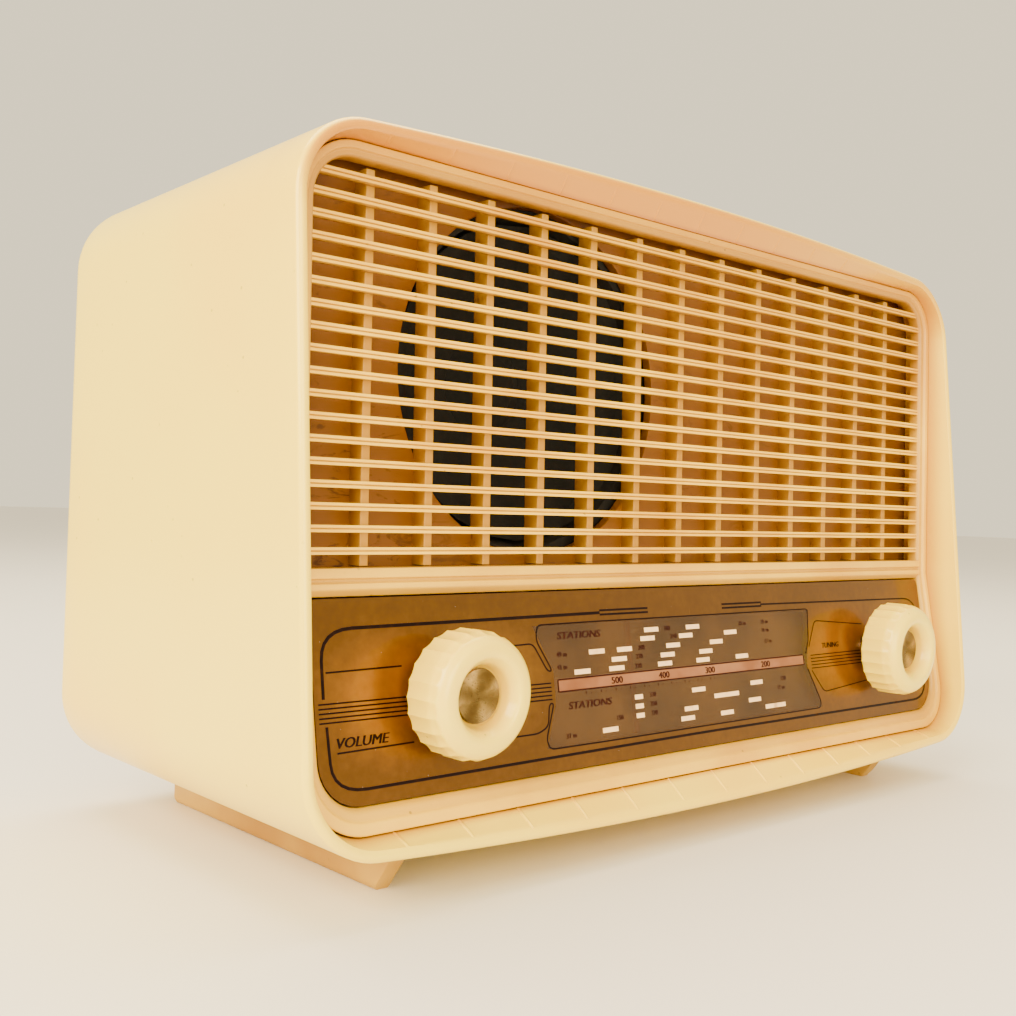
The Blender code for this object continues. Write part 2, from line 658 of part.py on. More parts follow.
def make_drum():
    """Cord drum with a grooved rim, pushed on the front end of the tuning capacitor's shaft."""
    rim = DRUM_RADIUS + 1.2 * MM
    bore = SHAFT_RADIUS + GAP
    profile = [
        (bore, -2.2 * MM), (6 * MM, -2.2 * MM), (6 * MM, -0.8 * MM), (21 * MM, -0.8 * MM),
        (21 * MM, -2 * MM), (rim, -2 * MM), (DRUM_RADIUS - GAP, -0.5 * MM),
        (DRUM_RADIUS - GAP, 0.5 * MM), (rim, 2 * MM), (21 * MM, 2 * MM), (21 * MM, 0.8 * MM),
        (bore, 0.8 * MM),
    ]
    turned("drive_drum", profile, "y", PALE_CREAM, (DRUM_X, CORD_Y, DRUM_Z), 28)


def belt_path():
    """Points of a taut closed belt round convex circles, clockwise seen from the front.

    Each circle is touched where the outside tangents to its neighbours meet it, with an arc between.
    """
    cord = CORD_RADIUS
    upper, low_left, low_right = pulley_places()
    circles = [
        (*upper, PULLEY_RADIUS + cord), (DRUM_X, DRUM_Z, DRUM_RADIUS + cord),
        (TUNING_X, KNOB_Z, TUNING_SPINDLE_RADIUS + cord + 0.1 * MM),
        (*low_right, PULLEY_RADIUS + cord), (*low_left, PULLEY_RADIUS + cord),
    ]

    def departure(first, second):
        """Angle of the outside tangent's contact, the same on both circles."""
        dx, dz = second[0] - first[0], second[1] - first[1]
        lead = math.acos((first[2] - second[2]) / math.hypot(dx, dz))
        return math.atan2(dz, dx) + lead

    leave = [departure(circles[i], circles[(i + 1) % len(circles)]) for i in range(len(circles))]
    points = []
    for i, (x, z, radius) in enumerate(circles):
        start = leave[i - 1]
        sweep = (start - leave[i]) % (2 * math.pi)
        steps = max(2, round(sweep / 0.35))
        for k in range(steps + 1):
            angle = start - sweep * k / steps
            points.append((x + radius * math.cos(angle), CORD_Y, z + radius * math.sin(angle)))
    return points


def make_dial_cord():
    curve = bpy.data.curves.new("dial_cord", "CURVE")
    curve.dimensions = "3D"
    curve.bevel_depth = CORD_RADIUS
    curve.bevel_resolution = 1
    points = belt_path()
    spline = curve.splines.new("POLY")
    spline.points.add(len(points) - 1)
    for place, point in zip(spline.points, points):
        place.co = (*point, 1)
    spline.use_cyclic_u = True
    cord = bpy.data.objects.new("dial_cord", curve)
    curve.materials.append(material("dial_cord", *CORD_THREAD))
    bpy.context.collection.objects.link(cord)


def add_half_disc(mesh_data, radius, low_y, high_y, upward):
    """A half round plate lying across the shaft; upward picks the half above or below it."""
    sign = 1 if upward else -1
    turns = np.linspace(0, math.pi, 9)
    faces = []
    for y in (low_y, high_y):
        row = [mesh_data.verts.new((radius * math.cos(t), y, sign * radius * math.sin(t))) for t in turns]
        row.append(mesh_data.verts.new((-radius, y, -sign * 0.5 * MM)))
        row.append(mesh_data.verts.new((radius, y, -sign * 0.5 * MM)))
        faces.append(row)
    count = len(faces[0])
    mesh_data.faces.new(faces[0])
    mesh_data.faces.new(faces[1])
    for i in range(count):
        j = (i + 1) % count
        mesh_data.faces.new((faces[0][i], faces[0][j], faces[1][j], faces[1][i]))


def make_capacitor():
    """Air-spaced tuning capacitor: a frame with fixed plates and a rotor with half-round plates."""
    front, back = CAPACITOR_FRONT_Y, CAPACITOR_BACK_Y
    x, z = DRUM_X, DRUM_Z
    half = CAPACITOR_HALF_WIDTH
    base = CHASSIS_TOP + GAP
    sheet = 1.5 * MM
    parts = [
        ((x - half, front, base), (x + half, back, base + sheet)),
        ((x - half, front, base), (x + half, front + sheet, z + 14 * MM)),
        ((x - half, back - sheet, base), (x + half, back, z + 14 * MM)),
    ]
    frame = finish_piece("tuning_capacitor_frame", boxes(parts[:1]), ALUMINIUM, smooth=False)
    ends = boxes(parts[1:])
    boolean(frame, "UNION", helper("added_capacitor_ends", ends))
    shaft_hole = add_turned(bmesh.new(), rod(3.4 * MM, front - MM, back + MM), "y", (x, 0, z), 16)
    boolean(frame, "DIFFERENCE", helper("cut_capacitor_shaft", shaft_hole))
    spine = boxes([((x - 17.5 * MM, front + MM, z - 13 * MM), (x - 15.6 * MM, back - MM, z - 7 * MM))])
    boolean(frame, "UNION", helper("added_stator_spine", spine))
    first = front + CAPACITOR_PITCH
    stator = bmesh.new()
    for i in range(STATOR_PLATES):
        y = first + i * CAPACITOR_PITCH
        add_box(stator, (x - 16.2 * MM, y, z - 14.5 * MM), (x - 4.2 * MM, y + MM, z - 2.5 * MM))
    boolean(frame, "UNION", helper("added_stator_plates", stator))

    shaft_profile = rod(SHAFT_RADIUS, 5 * MM - CORD_Y, back + 3 * MM - CORD_Y)
    rotor_shaft = add_turned(bmesh.new(), shaft_profile, "y", segments=12)
    rotor = finish_piece("tuning_capacitor_rotor", rotor_shaft, ALUMINIUM, (x, CORD_Y, z), smooth=False)
    plates = bmesh.new()
    for i in range(STATOR_PLATES - 1):
        y = first + (i + 0.5) * CAPACITOR_PITCH
        add_half_disc(plates, ROTOR_RADIUS, y, y + MM, True)
    turn_plates = helper("added_rotor_plates", plates)
    turn_plates.location = (x, 0, z)
    boolean(rotor, "UNION", turn_plates)


# ---------------------------------------------------------------- loudspeaker


def make_speaker():
    """Conical basket with four windows, a ring magnet behind it and a paper cone inside."""
    place = (SPEAKER_X, 0, SPEAKER_Z)
    face = BAFFLE_SETBACK + BAFFLE_THICK + GRILLE_LEAN * (SPEAKER_Z + SPEAKER_FLANGE - SLAT_FIRST) + GAP
    basket_profile = [
        (43.8 * MM, face), (SPEAKER_FLANGE, face), (SPEAKER_FLANGE, face + 1.2 * MM),
        (45.2 * MM, face + 1.2 * MM), (43 * MM, face + 9 * MM), (SPEAKER_NECK, face + 26 * MM),
        (SPEAKER_NECK, face + 28 * MM), (11 * MM, face + 28 * MM), (11 * MM, face + 26.8 * MM),
        (18.8 * MM, face + 26.8 * MM), (18.8 * MM, face + 25.4 * MM), (41.8 * MM, face + 8.4 * MM),
    ]
    basket = turned("speaker_basket", basket_profile, "y", ZINC, place, 28)
    windows = bmesh.new()
    for x_side in (-1, 1):
        for z_side in (-1, 1):
            x = SPEAKER_X + x_side * 1.5 * BASKET_WINDOW
            z = SPEAKER_Z + z_side * 1.5 * BASKET_WINDOW
            low = (x - BASKET_WINDOW / 2, face + 12 * MM, z - BASKET_WINDOW / 2)
            high = (x + BASKET_WINDOW / 2, face + 24 * MM, z + BASKET_WINDOW / 2)
            add_box(windows, low, high)
    boolean(basket, "DIFFERENCE", helper("cut_basket_windows", windows))
    magnet_profile = [
        (0, face + 28.3 * MM), (22 * MM, face + 28.3 * MM), (22 * MM, face + 44 * MM),
        (17 * MM, face + 48 * MM), (0, face + 48 * MM),
    ]
    turned("speaker_magnet", magnet_profile, "y", IRON, place, 24)
    cone_profile = [
        (0, face + 13 * MM), (8 * MM, face + 14.5 * MM), (13.4 * MM, face + 18.3 * MM),
        (38.5 * MM, face + 3.2 * MM), (42 * MM, face + 2.2 * MM), (42 * MM, face + 3.2 * MM),
        (39 * MM, face + 4.3 * MM), (14 * MM, face + 19.6 * MM), (14 * MM, face + 23 * MM),
        (13 * MM, face + 23 * MM), (13 * MM, face + 19.2 * MM), (8 * MM, face + 15.6 * MM),
        (0, face + 14 * MM),
    ]
    turned("speaker_cone", cone_profile, "y", BLACK_PAPER, place, 24)


# ---------------------------------------------------------------- chassis and what stands on it

VALVES = {  # name: (x, y, bulb height)
    "converter": (86, 72, 52),
    "amplifier": (38, 84, 52),
    "detector": (-8, 84, 52),
    "output": (-40, 84, 62),
    "rectifier": (-70, 92, 56),
}


def make_chassis():
    """Shallow steel tray with the valve sockets' holes and two ears for the controls."""
    half, top = CHASSIS_HALF_WIDTH, CHASSIS_TOP
    front, back = CHASSIS_FRONT_Y, CHASSIS_BACK_Y
    tray = boxes([((-half, front, top - SHEET), (half, back, top))])
    chassis = finish_piece("chassis", tray, ZINC, smooth=False)
    aprons = boxes([
        ((-half, front, CHASSIS_BOTTOM), (half, front + SHEET, top - SHEET / 2)),
        ((-half, back - SHEET, CHASSIS_BOTTOM), (half, back, top - SHEET / 2)),
    ])
    boolean(chassis, "UNION", helper("added_aprons", aprons))
    ear_back = EAR_Y + EAR_THICK
    ear_profile = [
        (EAR_Y, top - 0.8 * MM), (front + 2.5 * MM, top - 0.8 * MM), (front + 2.5 * MM, top - 0.3 * MM),
        (ear_back, top - 0.3 * MM), (ear_back, KNOB_Z + EAR_REACH), (EAR_Y, KNOB_Z + EAR_REACH),
    ]
    ears = bmesh.new()
    for x in (VOLUME_X, TUNING_X):
        add_prism(ears, ear_profile, x - EAR_WIDTH / 2, x + EAR_WIDTH / 2)
    boolean(chassis, "UNION", helper("added_ears", ears))
    holes = bmesh.new()
    for x in (VOLUME_X, TUNING_X):
        add_turned(holes, rod(4.9 * MM, 8 * MM, 20 * MM), "y", (x, 0, KNOB_Z), 16)
    for x, y, _ in VALVES.values():
        add_turned(holes, rod(VALVE_HOLE, top - 5 * MM, top + 5 * MM), "z", (x * MM, y * MM, 0), 16)
    boolean(chassis, "DIFFERENCE", helper("cut_chassis_holes", holes))


def make_valves():
    """Miniature valves: a pressed-glass bulb with a pip, plugged into a phenolic socket."""
    for kind, (x, y, height) in VALVES.items():
        place = (x * MM, y * MM, CHASSIS_TOP)
        socket = [
            (5.5 * MM, -4 * MM), (8 * MM, -4 * MM), (8 * MM, GAP), (11.5 * MM, GAP),
            (10 * MM, 6 * MM), (5.5 * MM, 6 * MM),
        ]
        turned(f"valve_socket_{kind}", socket, "z", PHENOLIC, place, 12)
        foot = 6.3 * MM
        top = foot + height * MM
        bulb = [
            (0, foot), (9 * MM, foot), (10.6 * MM, foot + 3 * MM), (10.8 * MM, top - 10 * MM),
            (9 * MM, top - 5 * MM), (4.5 * MM, top - 2.4 * MM), (1.4 * MM, top - 1.6 * MM),
            (0.9 * MM, top), (0, top),
        ]
        turned(f"valve_{kind}", bulb, "z", GLASS, place, 14)


def standing_box(name, centre_x, centre_y, width, depth, height, colour, bevel):
    """A box that stands on the chassis, its upright edges rounded off."""
    low = (centre_x - width / 2, centre_y - depth / 2, CHASSIS_TOP + GAP)
    high = (centre_x + width / 2, centre_y + depth / 2, CHASSIS_TOP + GAP + height)
    piece = finish_piece(name, boxes([(low, high)]), colour, smooth=False)
    rounding = piece.modifiers.new("rounding", "BEVEL")
    rounding.width = bevel
    rounding.segments = 2
    rounding.limit_method = "ANGLE"
    return piece


def make_transformer(name, x, y, width, height, depth):
    """Stack of iron laminations with the winding's round-cornered cheeks standing out of it."""
    core = standing_box(name, x, y, width, depth, height, IRON, 0.4 * MM)
    cheek = 4.5 * MM
    low = (x - width * 0.28, y - depth / 2 - cheek, CHASSIS_TOP + GAP + height * 0.2)
    high = (x + width * 0.28, y + depth / 2 + cheek, CHASSIS_TOP + GAP + height * 0.8)
    boolean(core, "UNION", helper(f"added_{name}_winding", boxes([(low, high)])))


def make_chassis_parts():
    for name, (x, y) in zip(("if_can_first", "if_can_second"), COIL_CAN_PLACES):
        standing_box(name, x, y, COIL_CAN_SIZE, COIL_CAN_SIZE, COIL_CAN_HEIGHT, ALUMINIUM, 1.5 * MM)
    make_transformer("mains_transformer", -92 * MM, 58 * MM, 34 * MM, 36 * MM, 20 * MM)
    make_transformer("output_transformer", -56 * MM, 52 * MM, 28 * MM, 24 * MM, 16 * MM)
    can = [
        (0, GAP), (12 * MM, GAP), (12.5 * MM, 2 * MM), (12.5 * MM, 38 * MM),
        (11.3 * MM, 39.5 * MM), (0, 39.5 * MM),
    ]
    turned("electrolytic_can", can, "z", ALUMINIUM, (*SMOOTHING_CAN_PLACE, CHASSIS_TOP), 20)
    holder = [
        (4.2 * MM, GAP), (7 * MM, GAP), (7 * MM, 2 * MM), (5.5 * MM, 2.5 * MM), (5.5 * MM, 12 * MM),
        (4.2 * MM, 12 * MM),
    ]
    lamp_place = (*LAMP_PLACE, CHASSIS_TOP)
    turned("lamp_holder", holder, "z", BRASS, lamp_place, 16)
    lamp = [
        (0, 3 * MM), (3.9 * MM, 3 * MM), (3.9 * MM, 12.5 * MM), (5 * MM, 17 * MM), (4.6 * MM, 21 * MM),
        (2.4 * MM, 23.2 * MM), (0, 23.8 * MM),
    ]
    turned("dial_lamp", lamp, "z", GLASS, lamp_place, 16)


def make_aerial():
    """Ferrite rod across the upper right of the cabinet, in two clips on the front wall."""
    place = (0, FERRITE_Y, FERRITE_Z)
    bore = FERRITE_RADIUS + GAP
    turned("ferrite_rod", rod(FERRITE_RADIUS, *FERRITE_ENDS), "x", FERRITE, place, 16)
    coil = [
        (bore, 40 * MM), (6.8 * MM, 40 * MM), (6.8 * MM, 42 * MM), (6 * MM, 42.4 * MM),
        (6 * MM, 57.6 * MM), (6.8 * MM, 58 * MM), (6.8 * MM, 60 * MM), (bore, 60 * MM),
    ]
    turned("ferrite_coil", coil, "x", COPPER, place, 16)
    wall = BAFFLE_SETBACK + BAFFLE_THICK + GRILLE_LEAN * (FERRITE_Z + 6 * MM - SLAT_FIRST) + GAP
    reach = 6.5 * MM
    for name, x in FERRITE_CLIPS:
        low = (x - 3 * MM, wall, FERRITE_Z - reach)
        high = (x + 3 * MM, FERRITE_Y + reach, FERRITE_Z + reach)
        clip = finish_piece(name, boxes([(low, high)]), PHENOLIC)
        cutter = add_turned(bmesh.new(), rod(bore, x - 9 * MM, x + 9 * MM), "x", place, 16)
        boolean(clip, "DIFFERENCE", helper(f"cut_{name}", cutter))


# ---------------------------------------------------------------- rear


def cover_screw_places():
    return [(side * COVER_SCREW_X, z) for z in COVER_SCREW_Z for side in (-1, 1)]


def make_rear():
    """Pressed hardboard cover with vent slots and cut-outs for the sockets, held by four screws."""
    inset = COVER_INSET + GAP
    inner = REAR_Y - COVER_THICK
    points = cabinet_section(inset, True, CABINET_CROWN)
    cover = finish_piece("rear_cover", loft([ring(points, inner), ring(points, REAR_Y)], False), HARDBOARD)
    cuts = bmesh.new()
    through = (inner - MM, REAR_Y + MM)
    for row in range(VENT_ROWS):
        for column in range(VENT_COLUMNS):
            x = (column - (VENT_COLUMNS - 1) / 2) * VENT_COLUMN_PITCH
            z = VENT_FIRST_Z + row * VENT_ROW_PITCH
            low = (x - VENT_WIDTH / 2, through[0], z - VENT_HEIGHT / 2)
            add_box(cuts, low, (x + VENT_WIDTH / 2, through[1], z + VENT_HEIGHT / 2))
    window = (SOCKETS_X - 15 * MM, through[0], SOCKETS_Z - 5 * MM)
    add_box(cuts, window, (SOCKETS_X + 15 * MM, through[1], SOCKETS_Z + 5 * MM))
    add_turned(cuts, rod(10 * MM, *through), "y", (SELECTOR_X, 0, SELECTOR_Z), 20)
    add_turned(cuts, rod(4.2 * MM, *through), "y", (GROMMET_X, 0, GROMMET_Z), 16)
    for x, z in cover_screw_places():
        add_turned(cuts, rod(COVER_SCREW_RADIUS + GAP, *through), "y", (x, 0, z), 12)
    boolean(cover, "DIFFERENCE", helper("cut_cover", cuts))

    screw = [
        (0, -7 * MM), (COVER_SCREW_RADIUS, -5.5 * MM), (COVER_SCREW_RADIUS, COVER_THICK + GAP),
        (3.4 * MM, COVER_THICK + GAP),
        (3.2 * MM, COVER_THICK + 1.6 * MM), (1.8 * MM, COVER_THICK + 2.4 * MM), (0, COVER_THICK + 2.4 * MM),
    ]
    for i, (x, z) in enumerate(cover_screw_places()):
        turned(f"rear_screw_{i + 1}", screw, "y", STEEL, (x, inner, z), 12)

    base = [
        (4 * MM, -5 * MM), (13 * MM, -5 * MM), (13 * MM, -GAP), (9.6 * MM, -GAP), (9.6 * MM, 1.4 * MM),
        (4 * MM, 1.4 * MM),
    ]
    selector_place = (SELECTOR_X, inner, SELECTOR_Z)
    turned("voltage_selector_base", base, "y", PHENOLIC, selector_place, 20)
    selector = [
        (0, -7 * MM), (3.7 * MM, -7 * MM), (3.7 * MM, 1.7 * MM), (8.6 * MM, 1.7 * MM), (8.6 * MM, 3.8 * MM),
        (8 * MM, 4.4 * MM), (0, 4.4 * MM),
    ]
    knob = turned("voltage_selector", selector, "y", BLACK_PLASTIC, selector_place, 20)
    slot_low = (SELECTOR_X - 0.7 * MM, inner + 3.3 * MM, SELECTOR_Z - 7 * MM)
    slot = boxes([(slot_low, (SELECTOR_X + 0.7 * MM, inner + 6 * MM, SELECTOR_Z + 7 * MM))])
    boolean(knob, "DIFFERENCE", helper("cut_selector_slot", slot))

    plate_low = (SOCKETS_X - 19 * MM, inner - 3 * MM - GAP, SOCKETS_Z - 8 * MM)
    plate = boxes([(plate_low, (SOCKETS_X + 19 * MM, inner - GAP, SOCKETS_Z + 8 * MM))])
    sockets = finish_piece("aerial_socket_plate", plate, PHENOLIC, smooth=False)
    holes = bmesh.new()
    for side in (-1, 1):
        place = (SOCKETS_X + side * SOCKET_SPACING / 2, 0, SOCKETS_Z)
        add_turned(holes, rod(2.1 * MM, inner - 8 * MM, inner + 4 * MM), "y", place, 12)
    boolean(sockets, "DIFFERENCE", helper("cut_sockets", holes))

    grommet = [
        (2.9 * MM, -1.6 * MM), (5.8 * MM, -1.6 * MM), (5.8 * MM, -GAP), (3.9 * MM, -GAP),
        (3.9 * MM, COVER_THICK + GAP), (5.8 * MM, COVER_THICK + GAP), (5.4 * MM, COVER_THICK + 1.6 * MM),
        (2.9 * MM, COVER_THICK + 1.6 * MM),
    ]
    turned("cord_grommet", grommet, "y", RUBBER, (GROMMET_X, inner, GROMMET_Z), 16)


def main():
    for old in list(bpy.data.objects):
        bpy.data.objects.remove(old)
    make_cabinet()
    make_runners()
    make_grille()
    make_dial()
    make_pointer()
    make_controls()
    make_pulleys()
    make_drum()
    make_dial_cord()
    make_capacitor()
    make_speaker()
    make_chassis()
    make_valves()
    make_chassis_parts()
    make_aerial()
    make_rear()
    for piece in bpy.data.objects:
        piece.location.y += CENTRE_SHIFT_Y


main()
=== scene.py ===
import json
import math

import bmesh
import bpy
import numpy as np
from mathutils import Matrix, Vector


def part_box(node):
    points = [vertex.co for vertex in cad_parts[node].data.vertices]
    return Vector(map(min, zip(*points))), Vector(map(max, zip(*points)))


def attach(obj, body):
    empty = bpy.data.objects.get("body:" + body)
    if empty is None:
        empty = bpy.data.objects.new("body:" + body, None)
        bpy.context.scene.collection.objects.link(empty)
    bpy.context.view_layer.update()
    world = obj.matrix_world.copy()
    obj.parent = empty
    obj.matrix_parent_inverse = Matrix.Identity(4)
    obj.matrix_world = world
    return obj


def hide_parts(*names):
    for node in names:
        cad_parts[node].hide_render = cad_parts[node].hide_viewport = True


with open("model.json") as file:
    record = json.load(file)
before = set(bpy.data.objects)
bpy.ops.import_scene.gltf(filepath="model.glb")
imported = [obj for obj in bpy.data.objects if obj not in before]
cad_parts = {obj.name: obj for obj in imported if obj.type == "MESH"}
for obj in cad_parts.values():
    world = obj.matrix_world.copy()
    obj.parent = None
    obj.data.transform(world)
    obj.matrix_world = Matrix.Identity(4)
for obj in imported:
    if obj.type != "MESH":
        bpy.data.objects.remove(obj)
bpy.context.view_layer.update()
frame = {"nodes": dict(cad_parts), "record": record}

MM = 0.001
GAP = 0.3 * MM

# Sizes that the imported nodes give
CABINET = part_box("cabinet_shell")
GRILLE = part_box("front_grille")
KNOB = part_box("volume_knob")
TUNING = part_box("tuning_knob")
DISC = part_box("volume_knob_disc")
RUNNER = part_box("right_runner")

REAR = CABINET[1].y  # plane of the cabinet's back edge
DEPTH_ZERO = REAR - 116 * MM  # depths below are measured from this upright plane
# How far forward of it the front's leaning planes are at floor height, and their rise backwards
LIP_FOOT, LIP_SLOPE = 18.93 * MM, 0.09
GRILLE_FOOT, GRILLE_SLOPE = 1.79 * MM, 0.0227
DIAL_FOOT, DIAL_SLOPE = 12.67 * MM, 0.1765
HALF_WIDTH = 137 * MM
BOTTOM = 14.5 * MM
TOP = 173.5 * MM
CROWN = 4.8 * MM
CORNER = 19 * MM
SIDE_TAPER = 0.004
WALL = 2.8 * MM
LIP_ROUND = 1.5 * MM
REAR_ROUND = 5 * MM
REAR_DRAFT = 1.4 * MM  # how much narrower the cabinet is on each side at the back
REAR_DROP = 2 * MM  # how much lower its top is there
COVER_INSET = 10 * MM
COVER_SHELF = 7 * MM
MOUTH_INSET = 2.6 * MM  # from the skin to where the flared mouth meets the lip
MOUTH_CROWN = 0.95 * CROWN
MOUTH_FRONT = 0.5 * MM  # how far behind the lip's plane it meets it
MOUTH_FOOT = 1.2 * MM  # how far forward of the recess's face the flare starts
FRAME_HALF = GRILLE[1].x
FRAME_BOTTOM = GRILLE[0].z
FRAME_TOP = GRILLE[1].z
FRAME_CORNER = 15 * MM
FRAME_BAND = 4.4 * MM  # how wide the frame is at its sides
FRAME_BAND_BELOW = 5.7 * MM
FRAME_BAND_ABOVE = 3.6 * MM
KINK = 70.7 * MM  # height where the grille's plane and the dial's plane meet
SLAT_FIRST = 78.7 * MM
SLAT_PITCH = 4.945 * MM
SLAT_COUNT = 18
RIB_PITCH = 18.5 * MM
RIB_COUNT = 13
RIB_PLACES = [(i - (RIB_COUNT - 1) / 2) * RIB_PITCH for i in range(RIB_COUNT)]
SPEAKER = Vector((-53.4 * MM, 0, 122.6 * MM))
SPEAKER_HOLE = 45.5 * MM
WALL_FRONT = 7.6 * MM  # front wall behind the slats' faces
WALL_BACK = 10.1 * MM
RUNNER_HEIGHT = 12 * MM
RUNNER_BACK = 102 * MM
FLUTES = 24
FLUTE_DEPTH = 0.4 * MM
SCALE_BAR = (42.9 * MM, 45.9 * MM)  # lower and upper edge of the dial's scale
KNOB_CENTRE = (KNOB[0] + KNOB[1]) / 2
TUNING_CENTRE = (TUNING[0] + TUNING[1]) / 2


# ---------------------------------------------------------------- where the front's planes lie


def lip_plane(z):
    """Depth of the front lip's plane."""
    return DEPTH_ZERO - LIP_FOOT + LIP_SLOPE * z


def grille_face(z):
    """Depth of the grille's plane."""
    return DEPTH_ZERO - GRILLE_FOOT + GRILLE_SLOPE * z


def dial_face(z):
    """Depth of the dial's plane."""
    return DEPTH_ZERO - DIAL_FOOT + DIAL_SLOPE * z


def recess_face(z):
    """The nearer of the dial's and the grille's plane at each height."""
    return np.minimum(grille_face(z), dial_face(z))


def behind_slats(z, setback=0.0):
    """Depth of the slats' faces, or of something at a setback behind them."""
    return DEPTH_ZERO + setback + GRILLE_SLOPE * (z - SLAT_FIRST)


# ---------------------------------------------------------------- meshes from grids of points


def grid_faces(rows, columns, wrap_rows, wrap_columns, first=0):
    """Four-sided faces of a grid whose point numbers run along each row in turn."""
    number = np.arange(rows * columns).reshape(rows, columns) + first
    if wrap_rows:
        number = np.vstack([number, number[:1]])
    if wrap_columns:
        number = np.hstack([number, number[:, :1]])
    corners = (number[:-1, :-1], number[:-1, 1:], number[1:, 1:], number[1:, :-1])
    return np.stack([c.ravel() for c in corners], 1)


def skin(points, loop=False):
    """Part of a mesh from rings of points (ring, point, xyz): a tube, or a torus if loop is set.

    An open tube is closed at both ends by one more ring shrunk to the end ring's middle.
    """
    if not loop:
        ends = [np.repeat(points[k].mean(0)[None, None], points.shape[1], 1) for k in (0, -1)]
        points = np.concatenate([ends[0], points, ends[1]])
    rings, count = points.shape[:2]
    return points.reshape(-1, 3), grid_faces(rings, count, loop, True)


def joined(parts):
    """One list of points and one list of faces from many parts."""
    points, faces, first = [], [], 0
    for part_points, part_faces in parts:
        points.append(part_points)
        faces.extend((np.asarray(f) + first).tolist() for f in part_faces)
        first += len(part_points)
    return np.concatenate(points), faces


def piece(name, parts, finish, body="root", stands_for=(), sharp=35):
    """Make an object from parts, weld its poles, face it outwards and put it on a body."""
    points, faces = joined(parts)
    mesh = bpy.data.meshes.new(name)
    mesh.from_pydata(points.tolist(), [], faces)
    welded = bmesh.new()
    welded.from_mesh(mesh)
    bmesh.ops.remove_doubles(welded, verts=welded.verts, dist=1e-7)
    bmesh.ops.recalc_face_normals(welded, faces=welded.faces)
    welded.to_mesh(mesh)
    welded.free()
    mesh.shade_smooth()
    mesh.set_sharp_from_angle(angle=math.radians(sharp))
    made = bpy.data.objects.new(name, mesh)
    bpy.context.collection.objects.link(made)
    mesh.materials.append(finish)
    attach(made, body)
    if stands_for:
        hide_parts(*stands_for)
    return made


def outline(half_width, bottom, top, corner, crown=0.0, low_corner=None, taper=0.0):
    """A rounded rectangle as columns of x and z, starting at the kink's height on the right.

    Its corners are quarter circles. The top and bottom edges are bowed outwards by crown times one
    less the square of x over the half width, and the sides lean in evenly by taper at the top.
    """
    low = corner if low_corner is None else low_corner
    turn = np.linspace(0, math.pi / 2, 15)
    across = np.linspace(1, -1, 65)[1:-1]
    kink = min(max(KINK, bottom + low + MM), top - corner - MM)
    rising = np.linspace(kink, top - corner, 9)[:-1]
    low_rise = np.linspace(bottom + low, kink, 9)[1:-1]

    def arc(centre_x, centre_z, radius, start):
        spokes = np.stack([np.cos(start + turn), np.sin(start + turn)], 1)
        return radius * spokes + [centre_x, centre_z]

    def upright(x, heights):
        return np.stack([np.full(len(heights), x), heights], 1)

    points = np.concatenate([
        upright(half_width, rising),
        arc(half_width - corner, top - corner, corner, 0),
        np.stack([across * (half_width - corner), np.full(len(across), top)], 1),
        arc(corner - half_width, top - corner, corner, math.pi / 2),
        upright(-half_width, np.append(rising[::-1], low_rise[::-1])),
        arc(low - half_width, bottom + low, low, math.pi),
        np.stack([-across * (half_width - low), np.full(len(across), bottom)], 1),
        arc(half_width - low, bottom + low, low, 1.5 * math.pi),
        upright(half_width, low_rise),
    ])
    x, z = points.T
    middle = (top + bottom) / 2
    bowed = z + np.where(z > middle, crown, -crown) * (1 - (x / half_width) ** 2)
    return np.stack([x * (1 - taper * (z - middle) / (top - middle)), bowed], 1)


def ring(points, depth):
    """An outline set at a depth, which is a number or a function of height."""
    x, z = points.T
    return np.stack([x, depth(z) if callable(depth) else np.full(len(x), depth), z], 1)


def lathe(profile, centre, segments=72, ripple=None):
    """A profile of radius and depth turned about an axis that runs front to back.

    A point is at radius times the cosine and sine of its angle; ripple, if given, is a function of
    radius, depth and angle that says how far the point is drawn in towards the axis.
    """
    radius, depth = (a[:, None] for a in np.asarray(profile, float).T)
    angle = np.linspace(0, 2 * math.pi, segments, endpoint=False)[None]
    reach = radius - (ripple(radius, depth, angle) if ripple else 0)
    points = np.stack([
        centre.x + reach * np.cos(angle),
        centre.y + depth + 0 * angle,
        centre.z + reach * np.sin(angle),
    ], 2)
    return points.reshape(-1, 3), grid_faces(len(profile), segments, profile[0][0] > 0, True)


def smooth_profile(points, radius, steps=5):
    """Round each inner corner of a profile: a quadratic curve from radius before it to radius after."""
    points = np.asarray(points, float)
    rounded = [points[:1]]
    for before, here, after in zip(points, points[1:], points[2:]):
        legs = [(other - here) / np.linalg.norm(other - here) for other in (before, after)]
        cut = [min(radius, np.linalg.norm(other - here) / 2.2) for other in (before, after)]
        t = np.linspace(0, 1, steps)[:, None]
        start, end = here + legs[0] * cut[0], here + legs[1] * cut[1]
        rounded.append((1 - t) ** 2 * start + 2 * t * (1 - t) * here + t ** 2 * end)
    rounded.append(points[-1:])
    return np.concatenate(rounded)


# ---------------------------------------------------------------- shader writing


